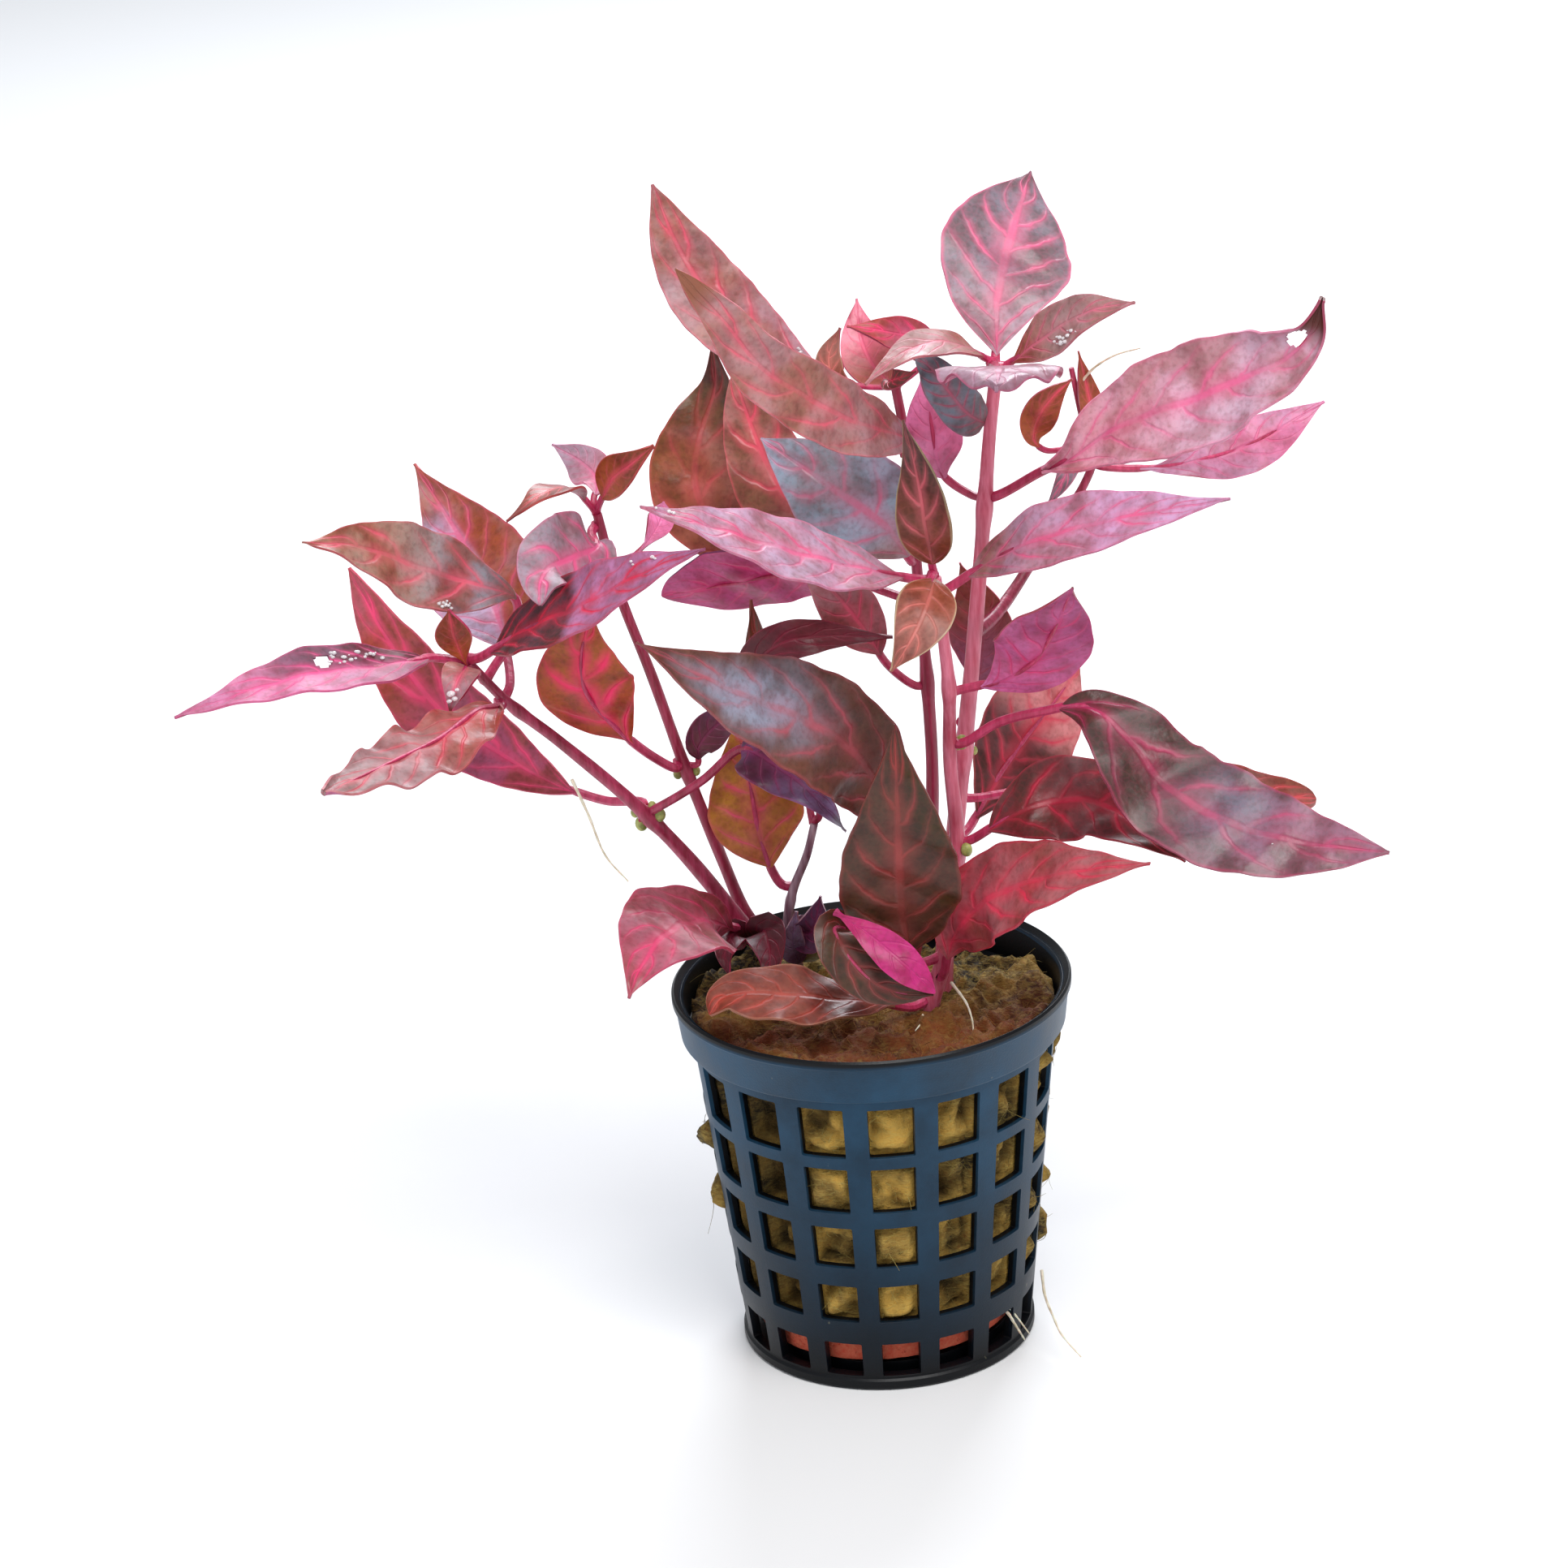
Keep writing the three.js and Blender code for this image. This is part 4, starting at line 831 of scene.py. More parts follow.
def stalk_skin(name, light, dark, streak=1.0):
    """Stem and petiole skin, finely ridged along its length. It gives the eye pale streaks over a red ground
    and a soft wet shine."""
    material, tree, shader, place = new_finish(
        name, Subsurface_Weight=0.2, Subsurface_Scale=0.001, Subsurface_Radius=(1.0, 0.3, 0.25),
        Coat_Weight=0.1, Coat_Roughness=0.25)
    drawn = add(tree, "Mapping", {"Scale": (1.0, 1.0, 0.1)}, {"Vector": place})
    streaks = add(tree, "TexNoise", {"Scale": 1300.0, "Detail": 3.0, "Roughness": 0.6}, {"Vector": drawn})
    patches = add(tree, "TexNoise", {"Scale": 130.0, "Detail": 3.0}, {"Vector": place})
    share = add(tree, "MapRange", {1: 0.35, 2: 0.66, 4: streak}, {0: streaks})
    skin = add(tree, "Mix", {**RGBA, 6: colour(dark), 7: colour(light)}, {0: share})
    shade = add(tree, "MapRange", {1: 0.45, 2: 0.7, 4: 0.5}, {0: patches})
    worn = add(tree, "Mix", {**RGBA, "blend_type": "MULTIPLY", 7: colour("#a87880")}, {0: shade, 6: skin})
    wet = add(tree, "MapRange", {3: 0.3, 4: 0.5}, {0: patches})
    bump = add(tree, "Bump", {"Strength": 0.5, "Distance": 0.2 * MM}, {"Height": streaks})
    link(tree, shader, {"Base Color": worn, "Roughness": wet, "Normal": bump})
    return material


def moulded_plastic():
    """Black polypropylene from a mould: blue-black and satin, with a very fine matt grain, and fine pale
    dust.
    On its outside below the lip lies a painted blue sheen, uneven in patches, that is strongest towards the
    rim and fades out down the wall, so that the foot is left black as painted shade."""
    material, tree, shader, place = new_finish("moulded_polypropylene", IOR=1.49, Specular_IOR_Level=0.22)
    spot = add(tree, "SeparateXYZ", {}, {0: place})
    height = spot.outputs[2]
    sheen_patches = add(tree, "TexNoise", {"Scale": 75.0, "Detail": 6.0, "Roughness": 0.6}, {"Vector": place})
    grain = add(tree, "TexNoise", {"Scale": 4200.0, "Detail": 2.0}, {"Vector": place})
    specks = add(tree, "TexNoise", {"Scale": 800.0, "Detail": 2.0}, {"Vector": place})

    # The painted sheen lies on the pot's outside, below its lip, and grows from the foot towards the rim
    flat = add(tree, "CombineXYZ", {}, {0: spot.outputs[0], 1: spot.outputs[1]})
    reach = add(tree, "VectorMath", {"operation": "LENGTH"}, {0: flat})
    under_skin = 0.5
    wall = add(tree, "MapRange", {1: 0.0, 2: COLLAR_LOW * MM, 3: (WALL_FOOT_RADIUS - under_skin) * MM,
                                  4: (WALL_TOP_RADIUS - under_skin) * MM}, {0: height})
    collar = add(tree, "MapRange", {1: (COLLAR_LOW - 0.4) * MM, 2: (COLLAR_LOW + 0.2) * MM,
                                    4: (COLLAR_RADIUS - WALL_TOP_RADIUS) * MM}, {0: height})
    skin = add(tree, "Math", {"operation": "ADD"}, {0: wall, 1: collar})
    outside = add(tree, "Math", {"operation": "GREATER_THAN"}, {0: reach, 1: skin})
    lip = add(tree, "MapRange", {1: (POT_HEIGHT - 1.2) * MM, 2: (POT_HEIGHT - 0.6) * MM, 3: 1.0, 4: 0.0},
              {0: height})
    rise = add(tree, "MapRange", {1: 2 * MM, 2: 42 * MM}, {0: height})
    uneven = add(tree, "MapRange", {1: 0.34, 2: 0.66, 3: 0.45, 4: 1.0}, {0: sheen_patches})
    painted_pot_sheen = add(tree, "Math", {"operation": "MULTIPLY"}, {0: rise, 1: uneven})
    below_lip = add(tree, "Math", {"operation": "MULTIPLY"}, {0: painted_pot_sheen, 1: lip})
    outer = add(tree, "Math", {"operation": "MULTIPLY"}, {0: below_lip, 1: outside})

    # Black, with the painted blue sheen laid over it
    ground = add(tree, "Mix", {**RGBA, 6: colour("#04060a"), 7: colour("#234a66")}, {0: outer})
    speck = add(tree, "MapRange", {1: 0.76, 2: 0.82, 4: 0.3}, {0: specks})
    dusty = add(tree, "Mix", {**RGBA, 7: colour("#8d8a72")}, {0: speck, 6: ground})
    dull = add(tree, "MapRange", {1: 0.3, 2: 0.7, 3: 0.3, 4: 0.5}, {0: sheen_patches})
    bump = add(tree, "Bump", {"Strength": 0.2, "Distance": 0.1 * MM}, {"Height": grain})
    link(tree, shader, {"Base Color": dusty, "Roughness": dull, "Normal": bump})
    return material


def wet_wool(name, pale, deep, rust):
    """Spun mineral wool, soaked and stained. It gives the eye matt, tangled fibres, ochre and dark olive in
    patches, with painted shade that darkens the hollows of the windows and the left side, painted light on
    the middle columns of windows at the front, and rust brown on the top at the front."""
    material, tree, shader, place = new_finish(name, Roughness=0.85, Specular_IOR_Level=0.3)
    spot = add(tree, "SeparateXYZ", {}, {0: place})
    sideways, back, height = spot.outputs[0], spot.outputs[1], spot.outputs[2]
    stains = add(tree, "TexNoise", {"Scale": 110.0, "Detail": 4.0, "Roughness": 0.6}, {"Vector": place})
    clumps = add(tree, "TexNoise", {"Scale": 380.0, "Detail": 6.0, "Roughness": 0.7}, {"Vector": place})
    combed = add(tree, "Mapping", {"Scale": (0.3, 0.3, 1.0), "Rotation": (0.3, 0.5, 0.2)}, {"Vector": place})
    fibres = add(tree, "TexNoise", {"Scale": 2600.0, "Detail": 3.0, "Distortion": 1.2}, {"Vector": combed})

    # Painted shade: darker where the wool lies deep in the windows, and at the left, where it lies inside
    # the wall
    flat = add(tree, "CombineXYZ", {}, {0: sideways, 1: back})
    reach = add(tree, "VectorMath", {"operation": "LENGTH"}, {0: flat})
    wall = add(tree, "MapRange", {1: 0.0, 2: COLLAR_LOW * MM, 3: WALL_FOOT_RADIUS * MM,
                                  4: WALL_TOP_RADIUS * MM}, {0: height})
    sunk = add(tree, "Math", {"operation": "SUBTRACT"}, {0: wall, 1: reach})
    shaded = add(tree, "MapRange", {1: 1.4 * MM, 2: 3.4 * MM, 4: 0.8}, {0: sunk})
    left_shade = add(tree, "MapRange", {1: -8 * MM, 2: -15 * MM, 4: 0.6}, {0: sideways})
    inside = add(tree, "MapRange", {1: -0.8 * MM, 2: 0.4 * MM}, {0: sunk})
    left_shade_inside = add(tree, "Math", {"operation": "MULTIPLY"}, {0: left_shade, 1: inside})
    painted_shade = add(tree, "Math", {"operation": "MAXIMUM"}, {0: shaded, 1: left_shade_inside})
    low = add(tree, "MapRange", {1: 45.5 * MM, 2: 43.5 * MM}, {0: height})
    lower = add(tree, "Math", {"operation": "MULTIPLY"}, {0: painted_shade, 1: low})

    # Lighter below the collar than on the top, and lighter still, as painted light, in the middle columns of
    # windows at the front
    stain_share = add(tree, "MapRange", {1: 0.38, 2: 0.6}, {0: stains})
    clump_share = add(tree, "MapRange", {1: 0.4, 2: 0.62}, {0: clumps})
    tone = add(tree, "Math", {"operation": "MULTIPLY_ADD", 1: 0.55}, {0: clump_share, 2: stain_share})
    aside = add(tree, "Math", {"operation": "ABSOLUTE"}, {0: sideways})
    painted_front_light = add(tree, "MapRange", {1: 12 * MM, 2: 4 * MM, 4: 0.5}, {0: aside})
    painted_front_light_low = add(tree, "Math", {"operation": "MULTIPLY"}, {0: painted_front_light, 1: low})
    below_collar_lift = add(tree, "Math", {"operation": "MULTIPLY_ADD", 1: 0.5}, {0: low, 2: painted_front_light_low})
    wool_lightness = add(tree, "Math", {"operation": "ADD"}, {0: tone, 1: below_collar_lift})
    toned = add(tree, "MapRange", {1: 0.65, 2: 2.1}, {0: wool_lightness})

    # Rust on the top at the front, in clumps
    high = add(tree, "MapRange", {1: 43.5 * MM, 2: 46.5 * MM}, {0: height})
    forward = add(tree, "MapRange", {1: 2 * MM, 2: -12 * MM}, {0: back})
    stain = add(tree, "Math", {"operation": "MULTIPLY"}, {0: high, 1: forward})
    patchy = add(tree, "MapRange", {1: 0.35, 2: 0.6, 3: 0.45, 4: 1.0}, {0: clumps})
    stained = add(tree, "Math", {"operation": "MULTIPLY"}, {0: stain, 1: patchy})

    strand_share = add(tree, "MapRange", {1: 0.42, 2: 0.7, 4: 0.55}, {0: fibres})
    iron = add(tree, "MapRange", {1: 0.6, 2: 0.72, 4: 0.6}, {0: clumps})
    wool = add(tree, "Mix", {**RGBA, 6: colour(deep), 7: colour(pale)}, {0: toned})
    # The last layer multiplies in the painted shade.
    for share, tint, blend in ((strand_share, "#b09850", "MIX"), (iron, "#7c3c14", "MIX"),
                               (stained, rust, "MIX"), (lower, "#584c3c", "MULTIPLY")):
        wool = add(tree, "Mix", {**RGBA, "blend_type": blend, 7: colour(tint)}, {0: share, 6: wool})
    relief = add(tree, "Math", {"operation": "MULTIPLY_ADD", 1: 0.35}, {0: fibres, 2: clumps})
    bump = add(tree, "Bump", {"Strength": 0.9, "Distance": 0.8 * MM}, {"Height": relief})
    link(tree, shader, {"Base Color": wool, "Normal": bump})
    return material


def fired_clay():
    """Unglazed fired clay: matt brick red with a sandy grain and small open pores."""
    material, tree, shader, place = new_finish("fired_clay", Roughness=0.85)
    sand = add(tree, "TexNoise", {"Scale": 1500.0, "Detail": 4.0, "Roughness": 0.7}, {"Vector": place})
    firing = add(tree, "TexNoise", {"Scale": 160.0, "Detail": 3.0}, {"Vector": place})
    pores = add(tree, "TexVoronoi", {"Scale": 1100.0}, {"Vector": place})
    ground = add(tree, "Mix", {**RGBA, 6: colour("#a8301c"), 7: colour("#cc4830")}, {0: firing})
    grain = add(tree, "MapRange", {1: 0.3, 2: 0.7, 4: 0.4}, {0: sand})
    sandy = add(tree, "Mix", {**RGBA, 7: colour("#d08a66")}, {0: grain, 6: ground})
    pits = add(tree, "MapRange", {1: 0.0, 2: 0.25}, {0: pores})
    relief = add(tree, "Math", {"operation": "MULTIPLY_ADD", 1: 0.5}, {0: sand, 2: pits})
    bump = add(tree, "Bump", {"Strength": 0.7, "Distance": 0.3 * MM}, {"Height": relief})
    link(tree, shader, {"Base Color": sandy, "Normal": bump})
    return material


def living_tissue(name, pale, deep, size):
    """Soft living tissue, such as a root or a bud: pale, with a moist sheen, and uneven in colour in patches
    of about that size in mm."""
    material, tree, shader, place = new_finish(
        name, Roughness=0.45, Subsurface_Weight=0.25, Subsurface_Scale=0.0008)
    patches = add(tree, "TexNoise", {"Scale": 1.0 / (size * MM), "Detail": 4.0}, {"Vector": place})
    share = add(tree, "MapRange", {1: 0.35, 2: 0.65}, {0: patches})
    ground = add(tree, "Mix", {**RGBA, 6: colour(deep), 7: colour(pale)}, {0: share})
    bump = add(tree, "Bump", {"Strength": 0.4, "Distance": 0.2 * MM}, {"Height": patches})
    link(tree, shader, {"Base Color": ground, "Normal": bump})
    return material


def clear_water():
    """Water in drops: mirror-smooth, partly clear and partly white, the white being painted glare of the
    sky.
    """
    material, tree, shader, place = new_finish(
        "clear_water", IOR=1.333, Transmission_Weight=0.45, Roughness=0.03)
    painted_pot_sheen = add(tree, "TexNoise", {"Scale": 900.0}, {"Vector": place})
    tint = add(tree, "Mix", {**RGBA, 6: colour("#ffffff"), 7: colour("#f4eef2")}, {0: painted_pot_sheen})
    link(tree, shader, {"Base Color": tint})
    return material


# The leaves' finishes, for either side. near and far are the colours at the petiole and at the tip; they
# meet at turn, a share of the length, and pass into each other over soft to either side of it. vein is the
# veins' colour, strength how strongly all of them show and laterals the side veins; rungs is how many of
# these stand along the blade, and flush how much of their colour spreads round them. The sheen colour, a
# painted sheen that stands for the wet shine as a pale veil, and brown come in patches and rim along the
# margin, each with its share. tip is the colour of the very tip. half is another colour on the right half,
# and how far along the blade it reaches. pool gathers the painted sheen in one spot as a painted highlight:
# its middle, and its reach across and along. roughness is that of the wet skin.
LOOKS = {
    "lilac_pink": dict(near="#b4809c", far="#cc7098", vein="#dc5084", turn=0.55, strength=0.6,
        sheen_veil="#a49cb8", sheen_veil_share=0.6, brown_share=0.0),
    "plum_lilac": dict(near="#54143c", far="#8c6c98", vein="#a03068", turn=0.55, strength=0.6,
        sheen_veil="#8870a0", sheen_veil_share=0.5, brown_share=0.1, tip="#9c98a4"),
    "young_mauve": dict(near="#b0786c", far="#a4707c", vein="#e85878", strength=0.8, laterals=0.3,
        flush=0.6, sheen_veil="#a08c94", sheen_veil_share=0.5, tip="#7c1820"),
    "rose_dusk": dict(near="#986c84", far="#94808e", vein="#e05084", turn=0.3, strength=0.9, rungs=5.0,
        sheen_veil="#8c8c90", sheen_veil_share=0.6, brown="#8c645c", brown_share=0.4),
    "rust_to_pink": dict(near="#a85840", far="#e87c98", vein="#e85c80", strength=0.7, laterals=0.4,
        sheen_veil="#b08080", sheen_veil_share=0.3, brown_share=0.2),
    "wine_dusk": dict(near="#a84468", far="#a44030", vein="#f04478", turn=0.6, soft=0.2, strength=0.9,
        rungs=5.5, flush=0.4, sheen_veil="#98607c", sheen_veil_share=0.5, brown="#88381c", brown_share=0.7),
    "magenta_wine": dict(near="#c03470", far="#c84c8c", vein="#e03c7c", strength=0.7, sheen_veil="#a8608c",
        brown="#5c2028", brown_share=0.5),
    "rose_rust": dict(near="#864a3a", far="#9c6058", vein="#e84c68", strength=0.65, rungs=5.0, flush=0.4,
        sheen_veil="#a88c84", sheen_veil_share=0.6, brown="#70502c", brown_share=0.6),
    "young_orange": dict(near="#a8541c", far="#8c4420", vein="#e85068", strength=0.85, laterals=0.25,
        flush=0.5, sheen_veil="#945c44", sheen_veil_share=0.3),
    "mauve_ring": dict(near="#9c7884", far="#947080", vein="#c04878", strength=0.35, sheen_veil="#98889a",
        brown_share=0.1, rim="#a43060", rim_share=0.6),
    "mauve_brown": dict(near="#984c28", far="#a88484", vein="#e06c88", turn=0.35, strength=0.65,
        sheen_veil="#a09890", sheen_veil_share=0.5, brown="#845440", brown_share=0.5),
    "left_long_skin": dict(near="#8c4458", far="#c8789f", vein="#e04484", turn=0.42, strength=0.8,
        sheen_veil="#a488a8", sheen_veil_share=0.4, brown_share=0.0, half=("#541420", 0.7), roughness=0.55),
    "young_rust": dict(near="#90482c", far="#885044", vein="#e47c74", strength=0.65, rungs=5.0,
        sheen_veil="#a07c70", sheen_veil_share=0.4, rim="#c0ac88", rim_share=0.7),
    "brown_dark_tip": dict(near="#9c5236", far="#4c3c30", vein="#dc5460", turn=0.68, soft=0.15,
        strength=0.6, rungs=5.0, laterals=0.7, flush=0.4, sheen_veil="#ac8478", sheen_veil_share=0.6,
        brown="#6c4c24", brown_share=0.7),
    # Its blue-grey far colour is partly the leaf's own colour and partly painted sheen.
    "grey_lavender": dict(near="#a08480", far="#8498a8", vein="#d85c84", turn=0.25, soft=0.12,
        strength=0.65, rungs=5.5, sheen_veil="#b4b0c8", sheen_veil_share=0.6, brown="#84645c", brown_share=0.4),
    "maroon": dict(near="#4c0a1c", far="#5c1020", vein="#8c1c38", strength=0.6, sheen_veil="#50243c",
        sheen_veil_share=0.2, brown_share=0.1),
    "rose_mauve": dict(near="#a03c48", far="#a85060", vein="#e43870", strength=0.75, sheen_veil="#98687c",
        sheen_veil_share=0.5, brown="#744430", brown_share=0.5),
    "dark_olive": dict(near="#4c2814", far="#40291a", vein="#a43c3c", strength=0.55, rungs=7.0, flush=0.4,
        sheen_veil="#64443a", sheen_veil_share=0.4, brown="#38290e", brown_share=0.8),
    "pale_rose": dict(near="#b07c8c", far="#986860", vein="#e44c6c", turn=0.6, soft=0.3, strength=0.65,
        rungs=6.0, sheen_veil="#b098a4", sheen_veil_share=0.6, brown="#8c5038", brown_share=0.7),
    "brown_mauve": dict(near="#a0a4ac", far="#a67672", vein="#e4506c", turn=0.14, soft=0.1, strength=0.65,
        rungs=6.0, sheen_veil="#bca0a8", sheen_veil_share=0.6, brown="#8c5c44", brown_share=0.7, tip="#84503c"),
    "pink_mauve": dict(near="#a46c74", far="#b890a8", vein="#dc5080", turn=0.25, strength=0.75,
        sheen_veil="#9c9cb4", sheen_veil_share=0.6, brown="#8c5c4c", brown_share=0.4),
    "pink": dict(near="#a83c60", far="#bc5884", vein="#d4587c", strength=0.7),
    "wine": dict(near="#641c1c", far="#6c2a2c", vein="#cc2044", strength=0.85, rungs=6.0, sheen_veil="#644048",
        sheen_veil_share=0.4, brown="#442410", brown_share=0.6),
    "magenta": dict(near="#98145c", far="#b02470", vein="#d0488c", strength=0.6, sheen_veil="#a04890"),
    "flap_magenta": dict(near="#b01460", far="#b41c6c", vein="#c82c7c", strength=0.3, rungs=5.0,
        sheen_veil="#b03480", sheen_veil_share=0.25, brown_share=0.1),
    "salmon": dict(near="#a8483c", far="#9c7c80", vein="#d04458", strength=0.8, sheen_veil="#9c9088",
        sheen_veil_share=0.5, brown="#7c4028", brown_share=0.5),
    "dusk_brown_tip": dict(near="#84848f", far="#a07864", vein="#e05870", strength=0.8, rungs=5.0,
        sheen_veil="#a09c98", sheen_veil_share=0.4, brown="#8c4830", brown_share=0.7),
    "rose": dict(near="#902c44", far="#a04860", vein="#c85c78", strength=0.7),
    "lavender_brown_tip": dict(near="#b4a0bc", far="#984c26", vein="#e0507c", turn=0.86, soft=0.05,
        strength=0.6, flush=0.35, sheen_veil="#b0a8c0", sheen_veil_share=0.3, brown_share=0.0,
        half=("#984826", 1.2)),
    # Its dark near end, which turns sharply to pink, is a painted shadow cast by another leaf.
    "painted_shadow_to_pink": dict(near="#440e10", far="#b474a0", vein="#d81c44", soft=0.03, sheen_veil="#9890b0",
        sheen_veil_share=0.2, brown="#4c2410", brown_share=0.3),
    "plum": dict(near="#4c1030", far="#583050", vein="#90285c", strength=0.6, sheen_veil="#685078",
        sheen_veil_share=0.4),
    "dusk": dict(near="#bca4b0", far="#786a74", vein="#e46890", turn=0.32, rungs=7.0, sheen_veil="#8c8c9c",
        sheen_veil_share=0.4, brown="#6c4440", brown_share=0.4, rim_share=0.6),
    "red_brown": dict(near="#783024", far="#80402c", vein="#d04850", strength=0.8, sheen_veil="#786870"),
    "pale_mauve": dict(near="#d49cb0", far="#a48c9c", vein="#e4588c", strength=0.75, laterals=0.5,
        flush=0.5, sheen_veil="#a098ac", brown_share=0.1),
    "rust": dict(near="#8c3c24", far="#843420", vein="#dc5458", strength=0.85, sheen_veil="#70504c"),
    "backlit_rust": dict(near="#b04818", far="#a45418", vein="#f02464", rungs=4.0, flush=0.5,
        sheen_veil="#a85c30", sheen_veil_share=0.3),
    # The pale blue-grey sheen gathered in a pool is a painted highlight.
    "steel": dict(near="#5c3422", far="#6c4434", vein="#bc4c5c", turn=0.6, strength=0.6, sheen_veil="#98a6bc",
        sheen_veil_share=0.85, brown="#543020", brown_share=0.5, pool=((0.5, 0.66), (0.5, 0.24)),
        roughness=0.36),
    "olive": dict(near="#5c3020", far="#54341c", vein="#a43c3c", strength=0.65, sheen_veil="#5c5048",
        sheen_veil_share=0.3),
    "rose_brown": dict(near="#984850", far="#8c5458", vein="#cc4060", strength=0.75, sheen_veil="#8c7c88"),
    "rust_red": dict(near="#682412", far="#742c18", vein="#c84438", strength=0.55, sheen_veil="#785040",
        sheen_veil_share=0.4, brown="#542c18", brown_share=0.5, rim="#c08c70"),
    "rose_red": dict(near="#983440", far="#a45458", vein="#d42c4c", strength=0.8, flush=0.45,
        sheen_veil="#ac7c80", brown="#74402c", brown_share=0.5, rim="#b01838", rim_share=0.7),
    # The blue-grey sheen gathered in a pool is painted sheen.
    "dusk_rose_tip": dict(near="#3e241c", far="#8c6074", vein="#c83468", turn=0.62, soft=0.2,
        strength=0.6, rungs=5.0, laterals=0.8, sheen_veil="#5c6c7c", sheen_veil_share=0.55, brown="#4c2c20",
        brown_share=0.6, pool=((0.4, 0.56), (0.5, 0.2))),
    "orchid": dict(near="#d868a4", far="#ac5080", vein="#dc3874", strength=0.8, sheen_veil="#b87cac",
        sheen_veil_share=0.4, brown="#8c4468", brown_share=0.3),
    "blush_tip": dict(near="#4c1810", far="#e09090", vein="#d83050", turn=0.66, soft=0.1, strength=0.65,
        flush=0.5, sheen_veil="#a07078", sheen_veil_share=0.4, brown="#54281a", brown_share=0.5),
    "young_brown": dict(near="#783414", far="#442820", vein="#d86470", turn=0.45, strength=0.65,
        rungs=5.0, sheen_veil="#5c4c48", sheen_veil_share=0.4, rim="#a89c78", rim_share=0.6),
    "brown_to_orchid": dict(near="#946860", far="#c898bc", vein="#dc5080", turn=0.4, strength=0.75,
        sheen_veil="#b094b8", sheen_veil_share=0.5, brown="#7c4838", brown_share=0.4),
    "rose_pink": dict(near="#a85060", far="#b46484", vein="#d83c68", turn=0.6, strength=0.75,
        sheen_veil="#9c7c90"),
    "dark_tipped_rose": dict(near="#d89cac", far="#c49cae", vein="#dc5488", turn=0.45, strength=0.75,
        laterals=0.8, sheen_veil="#b4a4b8", sheen_veil_share=0.4, brown="#985c50", brown_share=0.5, tip="#5c2820"),
    "hot_pink": dict(near="#d06890", far="#ec84b8", vein="#ec6ca0", turn=0.35, strength=0.6,
        sheen_veil="#b898b8", sheen_veil_share=0.5, brown_share=0.0),
    "slate": dict(near="#84686c", far="#707c88", vein="#c04868", turn=0.2, strength=0.65,
        sheen_veil="#788898"),
    "berry": dict(near="#6c1444", far="#841c50", vein="#c02c68", strength=0.8, sheen_veil="#6c3060"),
    "backlit_gold": dict(near="#b8682c", far="#b88020", vein="#e04470", turn=0.4, strength=0.9, rungs=5.5,
        sheen_veil="#b08038", brown_share=0.1),
    "plum_to_rust": dict(near="#94506c", far="#8c4438", vein="#a83c4c", strength=0.7, sheen_veil="#604058"),
    "lavender_sheath": dict(near="#5c3050", far="#8c7494", vein="#84487c", strength=0.5, sheen_veil="#a090ac"),
    "pale_green": dict(near="#70743c", far="#a8ac68", vein="#b0b078", strength=0.4, sheen_veil="#a0a470"),
}
SIDES = {name: leaf_side(name + "_leaf_skin", **look) for name, look in LOOKS.items()}
PETIOLE = stalk_skin("petiole_skin", "#dc4c7c", "#a8244c", 0.6)
STALKS = {
    "pink_stem": stalk_skin("pink_stem_skin", "#e4849c", "#c45068", 0.8),
    "grey_stem": stalk_skin("grey_stem_skin", "#b89ca8", "#74485c"),
    "dark_stem": stalk_skin("dark_stem_skin", "#cc4c74", "#8a1a38", 0.6),
}


# Leaves and stems

def leaf_piece(node, leaf):
    """A leaf, with its flap where it has one."""
    bm = new_mesh()
    stalk = STALKS[leaf["stalk"]] if "stalk" in leaf else PETIOLE
    materials = [SIDES[leaf["top"]], SIDES[leaf["under"]], stalk]
    blade(bm, leaf, (0, 1, 2))
    if "flap" in leaf:
        flap = leaf["flap"]
        materials += [SIDES[flap["top"]], SIDES[flap["under"]]]
        blade(bm, {**flap, "loose": True}, (3, 4, 3))
    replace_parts(finished(node.replace("leaf", "blade"), bm, materials), node)


def stem_piece(node, stem):
    """A grooved stem, swollen at its knots and a little uneven between them, with its youngest leaves."""
    low, high = stem["radii"]

    def radius(share):
        nearest = np.min([np.abs(share - knot) for knot in stem["knots"]], axis=0)
        swollen = 1 + KNOT_SWELLING * np.exp(-((nearest / KNOT_REACH) ** 2))
        return (low + (high - low) * share) * swollen * (1 + 0.02 * np.sin(share * 40))

    bm = new_mesh()
    curve = STEM_LINES[node]
    tube(bm, curve, radius, STEM_SIDES, int(curve[2] * 1.2), groove=0.025)
    materials = [STALKS[stem["finish"]], PETIOLE]
    for leaf in stem.get("young", []):
        slots = (len(materials), len(materials) + 1, 1)
        materials += [SIDES[leaf["top"]], SIDES[leaf["under"]]]
        blade(bm, leaf, slots)
    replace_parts(finished(node.replace("stem", "shoot"), bm, materials, sharp=50), node)


for node, leaf in LEAVES.items():
    leaf_piece(node, leaf)
for node, stem in STEMS.items():
    stem_piece(node, stem)


# The pot

def wall_radius(z):
    """The radius of the wall's outside at a height."""
    return WALL_FOOT_RADIUS + (WALL_TOP_RADIUS - WALL_FOOT_RADIUS) * z / COLLAR_LOW


def lathe(bm, profile, angles):
    """Adds the surface of a profile of (radius, height) in mm, turned through the angles; gives its
    vertices, and each one's column and row."""
    columns, rows = len(angles) - 1, len(profile) - 1
    made = bmesh.ops.create_grid(bm, x_segments=columns, y_segments=rows, size=1)["verts"]
    x, y, _ = coordinates(made).T
    column = np.rint((x + 1) / 2 * columns).astype(int)
    row = np.rint((y + 1) / 2 * rows).astype(int)
    angle, (r, z) = np.array(angles)[column], np.array(profile)[row].T
    move(made, np.stack([r * np.cos(angle), r * np.sin(angle), z], axis=1))
    return made, column, row


